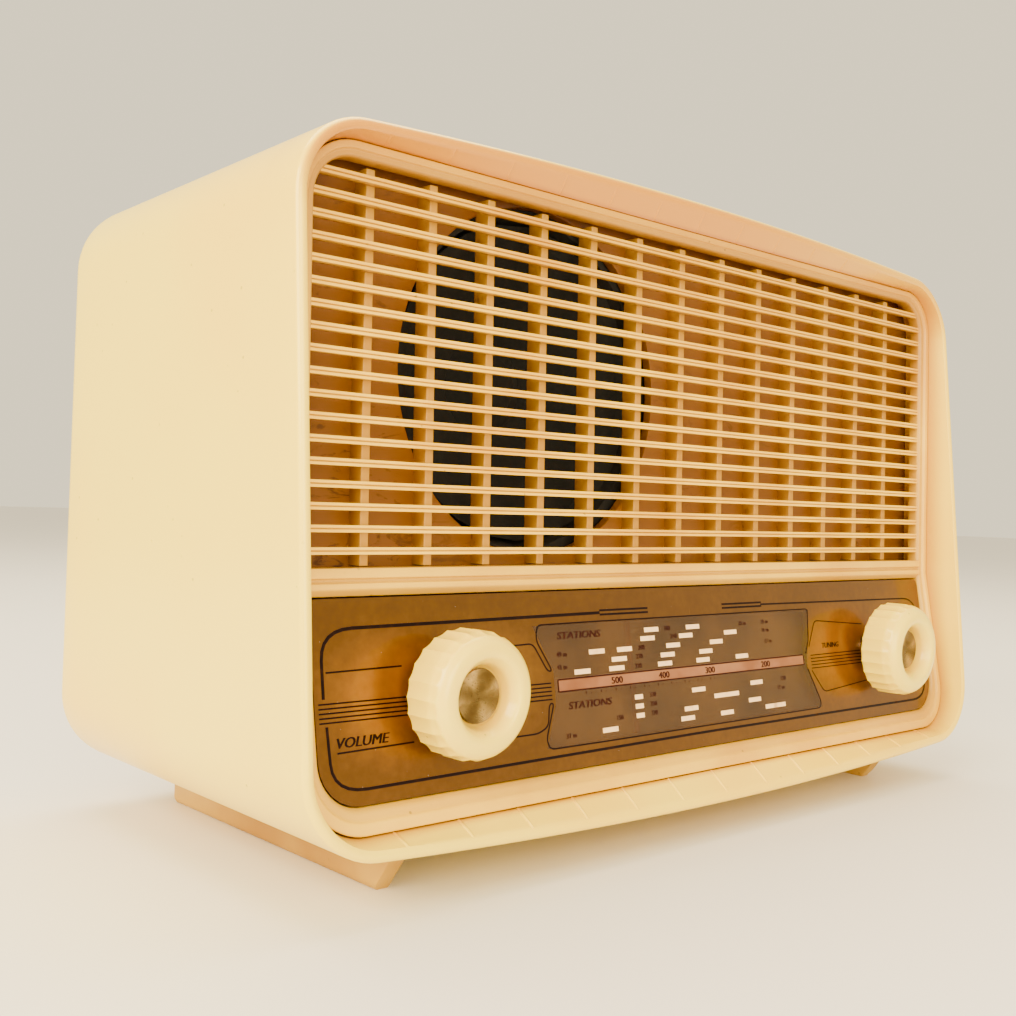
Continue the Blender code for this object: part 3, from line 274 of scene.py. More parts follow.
class Amount:
    """A socket used as a number, so that sums on it add Math nodes."""

    def __init__(self, finish, socket):
        self.finish, self.socket = finish, socket

    def _with(self, operation, *others):
        return self.finish.node("Math", {"operation": operation}, dict(enumerate((self, *others))))

    def _after(self, operation, first):
        return self.finish.node("Math", {"operation": operation}, {0: first, 1: self})

    def __add__(self, other):
        return self._with("ADD", other)

    __radd__ = __add__

    def __sub__(self, other):
        return self._with("SUBTRACT", other)

    def __rsub__(self, other):
        return self._after("SUBTRACT", other)

    def __mul__(self, other):
        return self._with("MULTIPLY", other)

    __rmul__ = __mul__

    def __truediv__(self, other):
        return self._with("DIVIDE", other)

    def __pow__(self, power):
        return self._with("POWER", power)

    def least(self, other):
        return self._with("MINIMUM", other)

    def most(self, other):
        return self._with("MAXIMUM", other)

    def size(self):
        return self._with("ABSOLUTE")

    def over(self, low, high):
        """0 up to low, 1 from high, and smooth in between; low may be the larger."""
        return self.finish.node(
            "MapRange", {"interpolation_type": "SMOOTHSTEP", "clamp": True},
            {0: self, 1: low, 2: high, 3: 0.0, 4: 1.0},
        )


class Finish:
    """A material whose Principled shader is fed by expressions."""

    def __init__(self, name, **constants):
        self.material = bpy.data.materials.new(name)
        self.material.use_nodes = True
        self.tree = self.material.node_tree
        self.shader = self.tree.nodes["Principled BSDF"]
        self.set(**constants)
        self.place = self.node("TexCoord", output="Object")
        self.x, self.y, self.z = (self.node("SeparateXYZ", {}, {0: self.place}, k) for k in range(3))

    def set(self, **constants):
        for socket, value in constants.items():
            self.shader.inputs[socket.replace("_", " ")].default_value = value

    def node(self, kind, settings=None, sockets=None, output=0):
        """Any node: its type, its settings, then the values or links of its sockets."""
        made = self.tree.nodes.new("ShaderNode" + kind)
        for name, value in (settings or {}).items():
            setattr(made, name, value)
        for name, value in (sockets or {}).items():
            target = made.inputs[name]
            if isinstance(value, Amount):
                self.tree.links.new(value.socket, target)
            else:
                target.default_value = value
        return Amount(self, made.outputs[output])

    def noise(self, scale, detail=3.0, roughness=0.55, stretch=None, distortion=0.0):
        """Noise from 0 to 1 on object coordinates, drawn out along an axis by stretch."""
        at = self.place
        if stretch:
            at = self.node("Mapping", {}, {0: self.place, "Scale": stretch})
        shape = {"Scale": scale, "Detail": detail, "Roughness": roughness, "Distortion": distortion}
        return self.node("TexNoise", {}, {"Vector": at, **shape})

    def specks(self, scale, size):
        """Small round spots, 1 inside, one in some of the cells of a scattered pattern."""
        cells = self.node("TexVoronoi", {}, {"Vector": self.place, "Scale": scale})
        return 1 - cells.over(size * 0.6, size)

    def mix(self, share, first, second):
        """A colour between two; each is a colour or another mix."""
        sockets = {0: share}
        for index, colour in ((6, first), (7, second)):
            sockets[index] = colour if isinstance(colour, Amount) else (*colour, 1.0)
        return self.node("Mix", {"data_type": "RGBA"}, sockets, 2)

    def feed(self, **inputs):
        """Link expressions to the shader's own sockets."""
        for socket, value in inputs.items():
            self.tree.links.new(value.socket, self.shader.inputs[socket.replace("_", " ")])

    def bump(self, height, distance, strength=1.0):
        lit = self.node("Bump", {}, {"Height": height, "Distance": distance, "Strength": strength})
        self.feed(Normal=lit)


def layered(name, dark, light, scale, rough, grain, depth, stretch=None, **constants):
    """An ordinary finish: two colours, roughness and bump that all follow layers of noise."""
    made = Finish(name, **constants)
    broad = made.noise(scale, 4.0, stretch=stretch)
    fine = made.noise(grain, 2.0, stretch=stretch)
    made.feed(
        Base_Color=made.mix(broad * 0.7 + fine * 0.3, dark, light),
        Roughness=rough[0] + (rough[1] - rough[0]) * fine,
    )
    made.bump(fine, depth)
    return made.material


# ---------------------------------------------------------------- colours and finishes

CREAM_PALE = (1.0, 0.74, 0.03)
CREAM_WARM = (1.0, 0.63, 0.012)
AMBER = (0.62, 0.25, 0.0)
AMBER_DEEP = (0.48, 0.16, 0.0)
GRILLE_PALE = (0.92, 0.55, 0.015)
GRILLE_WARM = (0.74, 0.37, 0.005)
SLAT_PALE = (1.0, 0.62, 0.02)
PEACH = (0.48, 0.19, 0.001)
RUNNER_PALE = (0.56, 0.32, 0.03)
OCHRE = (0.30, 0.115, 0.001)
OCHRE_DEEP = (0.21, 0.070, 0.001)
BROWN = (0.14, 0.035, 0.001)
RIB_PALE = (0.62, 0.31, 0.004)
GRIME = (0.05, 0.016, 0.002)
KNOB_PALE = (0.95, 0.68, 0.05)
KNOB_DEEP = (0.75, 0.42, 0.02)
BRASS_HIGHLIGHT = (0.60, 0.40, 0.13)
BRASS_DULL = (0.05, 0.026, 0.005)
GOLD_DEEP = (0.115, 0.045, 0.0)
GOLD_LIGHT = (0.30, 0.12, 0.001)
SMOKE_DEEP = (0.05, 0.020, 0.001)
SMOKE_LIGHT = (0.10, 0.040, 0.003)
SCALE_PINK = (0.24, 0.075, 0.02)
SCALE_PALE = (0.45, 0.20, 0.09)
DUST = (0.75, 0.62, 0.42)


def beyond_box(past_x, past_z, radius):
    """How far a point is outside a box with rounded corners, from how far it is past the corner
    circle's centre each way: the length of what is past it, less the circle's radius."""
    corner = (past_x.most(0.0) ** 2.0 + past_z.most(0.0) ** 2.0) ** 0.5
    return corner + past_x.most(past_z).least(0.0) - radius


def beyond_frame(made):
    """How far a point is outside the grille frame's outline."""
    middle = (FRAME_TOP + FRAME_BOTTOM) / 2
    past_x = made.x.size() - (FRAME_HALF - FRAME_CORNER)
    past_z = (made.z - middle).size() - (FRAME_TOP - middle - FRAME_CORNER)
    return beyond_box(past_x, past_z, FRAME_CORNER)


def cabinet_finish():
    """Pale moulded plastic, with amber painted shade inside the mouth.

    The mouth is told from the outer skin by how far a point is inside the rounded box of the sides,
    the bowed top and the bowed underside. The amber painted shade is deepest at the seam round the
    grille's frame and all over the mouth's upper side, where it fades towards the right.
    """
    made = Finish("cabinet_plastic", Roughness=0.3, Coat_Weight=0.25, Coat_Roughness=0.12, IOR=1.5)
    bow = CROWN * (1 - (made.x / HALF_WIDTH) ** 2.0)
    height = made.z - (TOP + BOTTOM) / 2
    lean = SIDE_TAPER * HALF_WIDTH / ((TOP - BOTTOM) / 2)
    past_x = made.x.size() + height * lean - (HALF_WIDTH - CORNER)
    past_z = height.size() - bow - ((TOP - BOTTOM) / 2 - CORNER)
    within = 0.0 - beyond_box(past_x, past_z, CORNER)
    front = 1 - made.y.over(DEPTH_ZERO + 10 * MM, DEPTH_ZERO + 12 * MM)
    mouth = within.over(0.9 * MM, 2.4 * MM) * front
    # painted shade: amber at the seam round the grille's frame, inside the mouth
    seam_shade = (1 - beyond_frame(made).over(0.2 * MM, 1.5 * MM)) * mouth
    # painted shade: amber over the mouth's upper side, weaker towards the right
    upper = made.z.over(148 * MM, 169 * MM) * within.over(0.1 * MM, 1.2 * MM) * front
    upper *= 1 - 0.35 * made.x.over(0.0, 135 * MM)
    broad = made.noise(7.0, 3.0)
    fine = made.noise(420.0, 3.0)
    pale = made.mix(broad.over(0.35, 0.7) * 0.7, CREAM_PALE, CREAM_WARM)
    # warm mottling kept to the mouth, as painted shade
    cloudy = made.mix(made.noise(26.0, 4.0).over(0.35, 0.7) * mouth * 0.6, pale, CREAM_WARM)
    seam_shaded = made.mix(seam_shade * 0.75, cloudy, AMBER_DEEP)
    with_painted_shade = made.mix(upper, seam_shaded, made.mix(seam_shade, AMBER, AMBER_DEEP))
    dirt = made.specks(190.0, 0.09) * made.noise(30.0).over(0.52, 0.62) * 0.35
    made.feed(
        Base_Color=made.mix(dirt, with_painted_shade, GRIME),
        Roughness=0.24 + 0.12 * made.noise(60.0, 4.0) + dirt * 0.3,
    )
    made.bump(fine * 0.5 + made.noise(46.0, 2.0) * 1.2, 0.05 * MM, 0.5)
    return made.material


def runner_finish():
    """The cabinet's plastic, duller and browner, with painted shade on the upper part of its front end."""
    made = Finish("runner_plastic", Roughness=0.42, IOR=1.5)
    broad = made.noise(22.0, 4.0)
    # painted shade on the upper part of the runner's front end
    front = (1 - made.y.over(-52 * MM, -40 * MM)) * made.z.over(1 * MM, 9 * MM) * 0.3
    colour = made.mix(broad.over(0.35, 0.7) * 0.7 + front, RUNNER_PALE, OCHRE)
    dirt = made.specks(220.0, 0.12) * made.noise(40.0).over(0.5, 0.6) * 0.5
    made.feed(Base_Color=made.mix(dirt, colour, GRIME), Roughness=0.38 + 0.2 * broad)
    made.bump(made.noise(400.0, 3.0), 0.04 * MM, 0.5)
    return made.material


def behind_face(made):
    """How far a point is behind the nearer of the grille's and the dial's face."""
    grille = made.y - DEPTH_ZERO + GRILLE_FOOT - made.z * GRILLE_SLOPE
    dial = made.y - DEPTH_ZERO + DIAL_FOOT - made.z * DIAL_SLOPE
    return grille.most(dial)


def frame_finish():
    """Cream plastic, pale on its raised steps, with amber painted shade in the hollows between and towards
    the top.
    """
    made = Finish("grille_frame_plastic", Roughness=0.35, Coat_Weight=0.15, Coat_Roughness=0.2, IOR=1.5)
    # painted shade: ochre in the hollows behind the raised steps
    hollow_shade = behind_face(made).over(-1.5 * MM, -0.3 * MM)
    # painted shade: warmer towards the top, under the cabinet's overhang
    high = made.z.over(120 * MM, 166 * MM)
    uneven = made.noise(24.0, 4.0)
    colour = made.mix(uneven.over(0.3, 0.75), GRILLE_PALE, GRILLE_WARM)
    shaded = made.mix(hollow_shade * 0.5, colour, OCHRE)
    warm = made.mix(high * 0.65, shaded, made.mix(hollow_shade, PEACH, OCHRE))
    dust = made.specks(260.0, 0.12) * made.noise(40.0).over(0.5, 0.62) * 0.5
    made.feed(Base_Color=made.mix(dust, warm, GRIME), Roughness=0.3 + 0.2 * uneven)
    made.bump(made.noise(500.0, 2.0), 0.03 * MM, 0.5)
    return made.material


def slat_finish():
    """Pale beads with painted shade: ochre in the groove between them, browner the further a point is
    behind, and peach towards the top.
    """
    made = Finish("slat_plastic", Roughness=0.35, Coat_Weight=0.15, Coat_Roughness=0.2, IOR=1.5)
    behind = behind_face(made)
    # painted shade in the groove between the beads
    groove_shade = behind.over(0.08 * MM, 0.36 * MM) * (1 - behind.over(0.5 * MM, 0.8 * MM))
    # painted shade deepening behind the slats' faces
    depth_shade = behind.over(0.5 * MM, 2.7 * MM)
    # painted shade towards the top
    high = made.z.over(130 * MM, 166 * MM)
    uneven = made.noise(24.0, 4.0)
    colour = made.mix(uneven.over(0.3, 0.75), SLAT_PALE, GRILLE_WARM)
    warm = made.mix(high * 0.45, colour, PEACH)
    groove_shaded = made.mix(groove_shade * 0.55, warm, OCHRE)
    sunk = made.mix(depth_shade * 0.9, groove_shaded, OCHRE)
    dust = made.specks(260.0, 0.12) * made.noise(40.0).over(0.5, 0.62) * 0.5
    made.feed(Base_Color=made.mix(dust, sunk, GRIME), Roughness=0.3 + 0.2 * uneven)
    made.bump(made.noise(500.0, 2.0), 0.03 * MM, 0.5)
    return made.material


def baffle_finish():
    """Ochre plastic with dust: dark flecks drawn out sideways, thickest low down on the left, and a
    brown tinge where the frame keeps the light off along the top and the left side."""
    made = Finish("front_wall_plastic", Roughness=0.5, IOR=1.5)
    broad = made.noise(16.0, 4.0)
    low_left = (1 - made.z.over(85 * MM, 150 * MM)) * 0.6 + (1 - made.x.over(-125 * MM, -60 * MM)) * 0.4
    flecks = made.noise(160.0, 6.0, 0.7, stretch=(0.5, 1.0, 1.6), distortion=1.5).over(0.56, 0.66)
    mess = flecks * (0.12 + 0.75 * low_left * broad.over(0.35, 0.6))
    edge = made.z.over(145 * MM, 172 * MM).most(1 - made.x.over(-134 * MM, -115 * MM)) * 0.5
    ground = made.mix(broad, OCHRE, OCHRE_DEEP)
    tinged = made.mix(edge, ground, BROWN)
    made.feed(Base_Color=made.mix(mess, tinged, GRIME), Roughness=0.45 + 0.35 * mess)
    made.bump(made.noise(300.0, 3.0), 0.06 * MM, 0.6)
    return made.material


def rib_finish():
    """The front wall's plastic, with dark flecks and painted shade towards the wall, paler and clear of
    flecks towards each rib's front edge.
    """
    made = Finish("rib_plastic", Roughness=0.4, IOR=1.5)
    # how far back towards the wall: it places both the flecks and painted shade
    back = behind_face(made).over(3.2 * MM, 7.6 * MM)
    broad = made.noise(30.0, 4.0)
    flecks = made.noise(210.0, 5.0, 0.7, stretch=(1.0, 1.0, 0.6)).over(0.6, 0.68) * back
    # painted shade: ochre towards the wall
    ground = made.mix(back * 0.8 + broad * 0.2, RIB_PALE, OCHRE)
    made.feed(Base_Color=made.mix(flecks * 0.5, ground, GRIME), Roughness=0.36 + 0.2 * broad)
    made.bump(made.noise(400.0, 2.0), 0.04 * MM, 0.5)
    return made.material


def from_knob_axis(made):
    """Sideways and upward distance from the axis of the knob on the point's own side."""
    right = made.x.over(-MM, MM)
    sideways = made.x - KNOB_CENTRE.x - right * (TUNING_CENTRE.x - KNOB_CENTRE.x)
    return sideways, made.z - KNOB_CENTRE.z


def knob_finish():
    """Pale, slightly cloudy plastic, with amber painted shade in the dish round the brass disc."""
    made = Finish("knob_plastic", Roughness=0.3, Coat_Weight=0.3, Coat_Roughness=0.1, IOR=1.5)
    made.set(Subsurface_Weight=0.2, Subsurface_Radius=(1.0, 0.6, 0.25), Subsurface_Scale=1.5 * MM)
    sideways, upward = from_knob_axis(made)
    radius = (sideways ** 2.0 + upward ** 2.0) ** 0.5
    # painted shade in the recessed dish round the disc
    sunk = (1 - radius.over(6.4 * MM, 9.0 * MM)) * 0.8
    broad = made.noise(55.0, 3.0)
    colour = made.mix(broad.over(0.3, 0.7), KNOB_PALE, CREAM_PALE)
    with_painted_shade = made.mix(sunk, colour, KNOB_DEEP)
    dirt = made.specks(300.0, 0.1) * made.noise(70.0).over(0.55, 0.65) * 0.5
    made.feed(Base_Color=made.mix(dirt, with_painted_shade, GRIME), Roughness=0.26 + 0.12 * broad)
    made.bump(made.noise(380.0, 3.0), 0.04 * MM, 0.4)
    return made.material


def brass_finish():
    """Turned brass under old lacquer, with painted highlights in two wedges on each side of the disc's
    middle.

    A wedge is the cosine of the angle between a point's direction and the wedge's own, squared and
    raised to a power that narrows it. Tarnished patches and dark spots lie over it.
    """
    made = Finish("spun_brass", Metallic=1.0, Roughness=0.3)
    sideways, upward = from_knob_axis(made)
    radius = (sideways ** 2.0 + upward ** 2.0 + MM ** 2) ** 0.5

    def wedge(angle, power):
        along = (sideways * math.cos(angle) + upward * math.sin(angle)) / radius
        return (along ** 2.0) ** power

    # painted highlights: two bright wedges where spun brass would reflect the light
    highlight_wedges = wedge(math.radians(118), 5.0).most(wedge(math.radians(20), 9.0) * 0.6)
    patches = made.noise(230.0, 4.0, 0.6, distortion=0.6).over(0.42, 0.66)
    spots = made.specks(900.0, 0.18) * made.noise(300.0).over(0.48, 0.6)
    colour = made.mix((highlight_wedges * 0.85 + 0.15) * (1 - patches * 0.4), BRASS_DULL, BRASS_HIGHLIGHT)
    made.feed(
        Base_Color=made.mix(spots * 0.7, colour, (0.05, 0.03, 0.01)),
        Roughness=0.22 + 0.2 * patches + 0.2 * spots,
    )
    made.bump(made.noise(900.0, 2.0), 0.02 * MM, 0.3)
    return made.material


def glass_finish():
    """Dial glass with gold-brown metallic paint on its face, except for a smoky pane in the middle.

    The pane's left and right edges bend in towards its waist, and the scale's bar across it is
    paler. The paint is lightest round the knobs: a painted reflection of the light there.
    """
    made = Finish("dial_glass_paint", Roughness=0.3, Coat_Weight=0.3, Coat_Roughness=0.05, IOR=1.45)
    left = -56.2 * MM - ((made.z - 48.3 * MM).most(0.0) * 0.53 + (40.3 * MM - made.z).most(0.0) * 0.4)
    right = 55.0 * MM + ((made.z - 43 * MM).most(0.0) * 0.23 + (42 * MM - made.z).most(0.0) * 0.45)

    def positive(value):
        """1 above nought and 0 below it, over the width of a clean printed edge."""
        return value.over(-0.08 * MM, 0.08 * MM)

    def band(value, low, high):
        return positive(value - low) * positive(high - value)

    pane = positive(made.x - left) * positive(right - made.x) * band(made.z, 29.4 * MM, 59.7 * MM)
    bar = band(made.x, -54.9 * MM, 53.3 * MM) * band(made.z, *SCALE_BAR)
    sideways, upward = from_knob_axis(made)
    far = ((sideways.size() - 12 * MM) ** 2.0 + (upward * 1.5) ** 2.0) ** 0.5
    # painted reflection: lighter paint round each knob
    knob_reflection = 1 - far.over(4 * MM, 30 * MM)
    cloud = made.noise(9.0, 4.0)
    grain = made.noise(520.0, 3.0)
    # random clouding together with the painted reflection round the knobs
    lit = (cloud * 0.3 + grain * 0.25 + made.noise(60.0, 3.0) * 0.2 + knob_reflection * 0.45).over(0.25, 0.95)
    gold = made.mix(lit, GOLD_DEEP, GOLD_LIGHT)
    smoke = made.mix(made.noise(40.0, 4.0).over(0.3, 0.7), SMOKE_DEEP, SMOKE_LIGHT)
    scale = made.mix(made.noise(70.0, 3.0).over(0.3, 0.7) * 0.6, SCALE_PINK, SCALE_PALE)
    dust = made.specks(330.0, 0.04) * 0.3
    made.feed(
        Base_Color=made.mix(dust, made.mix(bar, made.mix(pane, gold, smoke), scale), DUST),
        Alpha=1 - pane * (0.36 - 0.12 * bar),
        Roughness=0.28 + 0.16 * grain,
        Metallic=0.75 - 0.75 * pane,
    )
    return made.material


def ink_finish(name, dark, worn):
    """Printing ink that has rubbed thin in small patches."""
    made = Finish(name, Roughness=0.5, IOR=1.2)
    rubbed = made.noise(420.0, 4.0, 0.6).over(0.5, 0.72)
    made.feed(Base_Color=made.mix(rubbed * 0.45, dark, worn), Roughness=0.4 + 0.2 * rubbed)
    return made.material


def hardboard_finish():
    """Pressed wood fibre: short pale and dark fibres in every direction over a brown ground."""
    made = Finish("hardboard", Roughness=0.75)
    one = made.noise(700.0, 4.0, 0.6, stretch=(0.25, 1.0, 1.0)).over(0.5, 0.66)
    other = made.noise(760.0, 4.0, 0.6, stretch=(1.0, 1.0, 0.25)).over(0.5, 0.66)
    broad = made.noise(14.0, 4.0)
    ground = made.mix(broad, (0.16, 0.085, 0.04), (0.26, 0.15, 0.075))
    fibres = made.mix(one.most(other) * 0.5, ground, (0.40, 0.26, 0.14))
    made.feed(Base_Color=fibres, Roughness=0.62 + 0.25 * one)
    made.bump(one + other, 0.15 * MM, 0.6)
    return made.material


def valve_finish():
    """Clear blown glass silvered at the top, through which the grey electrodes show as a shade."""
    made = Finish("valve_glass", Roughness=0.06, IOR=1.5, Coat_Weight=0.5)
    silver = (made.z + made.noise(90.0, 3.0) * 6 * MM).over(76 * MM, 82 * MM)
    grey = made.mix(made.noise(120.0, 3.0), (0.10, 0.10, 0.11), (0.32, 0.32, 0.33))
    made.feed(
        Base_Color=made.mix(silver, grey, (0.72, 0.72, 0.74)), Metallic=silver * 0.9,
        Alpha=0.55 + 0.45 * silver, Roughness=0.05 + 0.1 * silver,
    )
    return made.material


CABINET_PLASTIC = cabinet_finish()
RUNNER_PLASTIC = runner_finish()
FRAME_PLASTIC = frame_finish()
SLAT_PLASTIC = slat_finish()
BAFFLE_PLASTIC = baffle_finish()
RIB_PLASTIC = rib_finish()
KNOB_PLASTIC = knob_finish()
SPUN_BRASS = brass_finish()
DIAL_PAINT = glass_finish()
DARK_INK = ink_finish("dark_ink", (0.006, 0.001, 0.0), (0.03, 0.008, 0.001))
RED_INK = ink_finish("red_brown_ink", (0.022, 0.002, 0.001), (0.06, 0.012, 0.003))
PALE_INK = ink_finish("pale_ink", (0.98, 0.66, 0.36), (0.70, 0.40, 0.18))
STEEL = layered(
    "turned_steel", (0.38, 0.38, 0.37), (0.62, 0.62, 0.60), 60.0, (0.22, 0.42), 900.0, 0.02 * MM,
    stretch=(1.0, 0.2, 1.0), Metallic=1.0,
)
# painted shade: the plated steel basket made near-black, as it sits in shade behind the grille
BASKET_SHADE = layered(
    "basket_shade_black", (0.006, 0.005, 0.004), (0.02, 0.017, 0.013), 60.0, (0.7, 0.9), 500.0, 0.04 * MM,
)
PLAIN_FINISHES = {
    "gold_plate": layered(
        "gold_paint", (0.40, 0.24, 0.06), (0.62, 0.42, 0.14), 20.0, (0.35, 0.5), 500.0, 0.03 * MM,
        Metallic=0.5,
    ),
    "cord_thread": layered(
        "waxed_thread", (0.36, 0.28, 0.16), (0.66, 0.56, 0.38), 300.0, (0.75, 0.9), 1800.0, 0.05 * MM,
    ),
    "pointer": layered(
        "red_paint", (0.36, 0.02, 0.01), (0.62, 0.06, 0.03), 90.0, (0.35, 0.5), 800.0, 0.02 * MM,
    ),
    "steel": STEEL,
    "plated_steel": layered(
        "plated_steel", (0.40, 0.40, 0.36), (0.66, 0.66, 0.60), 25.0, (0.35, 0.6), 300.0, 0.03 * MM,
        Metallic=0.9,
    ),
    "aluminium": layered(
        "drawn_aluminium", (0.55, 0.56, 0.57), (0.80, 0.80, 0.80), 40.0, (0.28, 0.45), 600.0, 0.02 * MM,
        stretch=(1.0, 1.0, 0.15), Metallic=1.0,
    ),
    "iron": layered(
        "lacquered_iron", (0.06, 0.055, 0.05), (0.20, 0.19, 0.18), 60.0, (0.45, 0.7), 500.0, 0.05 * MM,
        Metallic=0.6,
    ),
    # dark cone paper, darkened further to near black as painted shade inside the cabinet
    "cone_paper": layered(
        "cone_paper", (0.003, 0.003, 0.002), (0.010, 0.009, 0.007), 120.0, (0.85, 0.98), 900.0, 0.1 * MM,
    ),
    "ferrite": layered(
        "sintered_ferrite", (0.05, 0.05, 0.055), (0.13, 0.13, 0.13), 150.0, (0.6, 0.8), 900.0, 0.05 * MM,
    ),
    "copper": layered(
        "enamelled_wire", (0.30, 0.10, 0.03), (0.62, 0.26, 0.10), 80.0, (0.3, 0.45), 1500.0, 0.08 * MM,
        stretch=(3.0, 0.1, 0.1), Metallic=0.7,
    ),
    "phenolic": layered(
        "brown_phenolic", (0.07, 0.035, 0.018), (0.19, 0.10, 0.05), 90.0, (0.35, 0.55), 700.0, 0.04 * MM,
    ),
    "black_plastic": layered(
        "black_plastic", (0.015, 0.014, 0.013), (0.05, 0.047, 0.044), 60.0, (0.32, 0.5), 600.0, 0.03 * MM,
    ),
    "rubber": layered(
        "soft_rubber", (0.02, 0.02, 0.02), (0.07, 0.065, 0.06), 90.0, (0.65, 0.85), 600.0, 0.05 * MM,
    ),
    "hardboard": hardboard_finish(),
    "valve_glass": valve_finish(),
    "brass": SPUN_BRASS,
    "knob": KNOB_PLASTIC,
    "cabinet": CABINET_PLASTIC,
    "grille": FRAME_PLASTIC,
    "dial": DIAL_PAINT,
}


def dress_nodes():
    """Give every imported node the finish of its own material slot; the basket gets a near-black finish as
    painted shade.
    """
    slots = {part["node"]: part["material_slot"] for part in frame["record"]["subparts"]}
    for name, node in frame["nodes"].items():
        finish = BASKET_SHADE if name == "speaker_basket" else PLAIN_FINISHES[slots[name]]
        for place in node.material_slots:
            place.material = finish


# ---------------------------------------------------------------- cabinet


def cabinet_section(inset, rear=0.0, crown=CROWN):
    """The cabinet's outline in from its skin; rear runs from 0 at the front to 1 at the back."""
    return outline(
        HALF_WIDTH - REAR_DRAFT * rear - inset, BOTTOM + inset, TOP - REAR_DROP * rear - inset,
        max(CORNER - inset, 6 * MM), crown, taper=SIDE_TAPER,
    )


def frame_outline(inset):
    """The grille frame's outline; inset is how far in from its sides."""
    below = inset * FRAME_BAND_BELOW / FRAME_BAND
    above = inset * FRAME_BAND_ABOVE / FRAME_BAND
    return outline(FRAME_HALF - inset, FRAME_BOTTOM + below, FRAME_TOP - above, FRAME_CORNER - inset)


def between(first, last, steps):
    """Rings spread evenly on straight lines from one ring to another, both ends left out."""
    share = np.linspace(0, 1, steps + 2)[1:-1, None, None]
    return list(first[None] * (1 - share) + last[None] * share)


def make_cabinet():
    """A tube closed on itself: lip, outer skin, rounded back edge, shelf, inside, pocket, mouth.

    The lip is a quarter ellipse and the back edge a quarter circle of insets and depths; the skin
    and the flared mouth between them are straight lines from one ring to the next.
    """
    turn = np.linspace(0, math.pi / 2, 8)

    def lip_depth(angle):
        return lambda z: lip_plane(z) + LIP_ROUND * (1 - math.cos(angle))

    def before_recess(distance):
        return lambda z: recess_face(z) - distance

    rings = [ring(cabinet_section(LIP_ROUND * (1 - math.sin(t))), lip_depth(t)) for t in turn]
    rear = [
        ring(cabinet_section(REAR_ROUND * (1 - math.cos(t)), 1), REAR - REAR_ROUND * (1 - math.sin(t)))
        for t in turn
    ]
    rings += between(rings[-1], rear[0], 14) + rear
    shelf, shelf_edge = REAR - 2.8 * MM, COVER_INSET + COVER_SHELF
    pocket = frame_outline(-GAP)
    rings += [
        ring(cabinet_section(COVER_INSET, 1), REAR),
        ring(cabinet_section(COVER_INSET, 1), shelf),
        ring(cabinet_section(shelf_edge, 1), shelf),
        ring(cabinet_section(shelf_edge, 1), shelf - WALL),
        ring(cabinet_section(WALL, 1), REAR - COVER_INSET - WALL),
        ring(cabinet_section(WALL, 0, CROWN * 0.7), DEPTH_ZERO + 16 * MM),
        ring(pocket, before_recess(-6.2 * MM)),
        ring(pocket, before_recess(1.0 * MM)),
    ]
    foot = ring(pocket, before_recess(MOUTH_FOOT))
    mouth = ring(cabinet_section(MOUTH_INSET, 0, MOUTH_CROWN), lambda z: lip_plane(z) + MOUTH_FRONT)
    soft = ring(cabinet_section(2.1 * MM, 0, CROWN * 0.97), lambda z: lip_plane(z) + 0.12 * MM)
    rings += [foot, *between(foot, mouth, 6), mouth, soft]
    piece("cabinet_skin", [skin(np.stack(rings), loop=True)], CABINET_PLASTIC,
          stands_for=["cabinet_shell"])


def mouth_edge(x, upper):
    """Inner and outer end (depth, height) of the flared mouth above or below a given x."""
    bow = MOUTH_CROWN * (1 - (x / (HALF_WIDTH - MOUTH_INSET)) ** 2)
    if upper:
        inner, outer = FRAME_TOP + GAP, TOP - MOUTH_INSET + bow
    else:
        inner, outer = FRAME_BOTTOM - GAP, BOTTOM + MOUTH_INSET - bow
    return (recess_face(inner) - MOUTH_FOOT, inner), (lip_plane(outer) + MOUTH_FRONT, outer)


def make_mouth_lines():
    """Fine raised lines across the mouth's top and bottom, nearly in line with the ribs.

    Each is an ellipse, half sunk, carried from the frame out to the lip. Its height goes with the
    0.35th power of the sine of how far along it is, so that it fades into the surface at both ends.
    """
    half_width, shift = 0.45 * MM, 0.6 * MM
    height_below, height_above = 0.36 * MM, 0.2 * MM
    parts = []
    along = np.linspace(0.0, 1.0, 9)
    around = np.linspace(0, 2 * math.pi, 12, endpoint=False)
    for upper in (False, True):
        for x in RIB_PLACES:
            start, end = (np.array(p) for p in mouth_edge(x, upper))
            run = (end - start) / np.linalg.norm(end - start)
            normal = np.array([-run[1], run[0]]) * (1 if not upper else -1)
            swell = np.sin(math.pi * (0.03 + 0.94 * along)) ** 0.35
            height = (height_above if upper else height_below) * swell
            centre = start + (end - start) * along[:, None]
            lift = normal * (height[:, None, None] * np.sin(around)[None, :, None])
            sideways = half_width * np.cos(around) + shift * (1 - along[:, None])
            points = np.stack([
                x + sideways,
                centre[:, None, 0] + lift[..., 0],
                centre[:, None, 1] + lift[..., 1],
            ], 2)
            parts.append(skin(points))
    piece("mouth_lines", parts, CABINET_PLASTIC, stands_for=["cabinet_shell"])


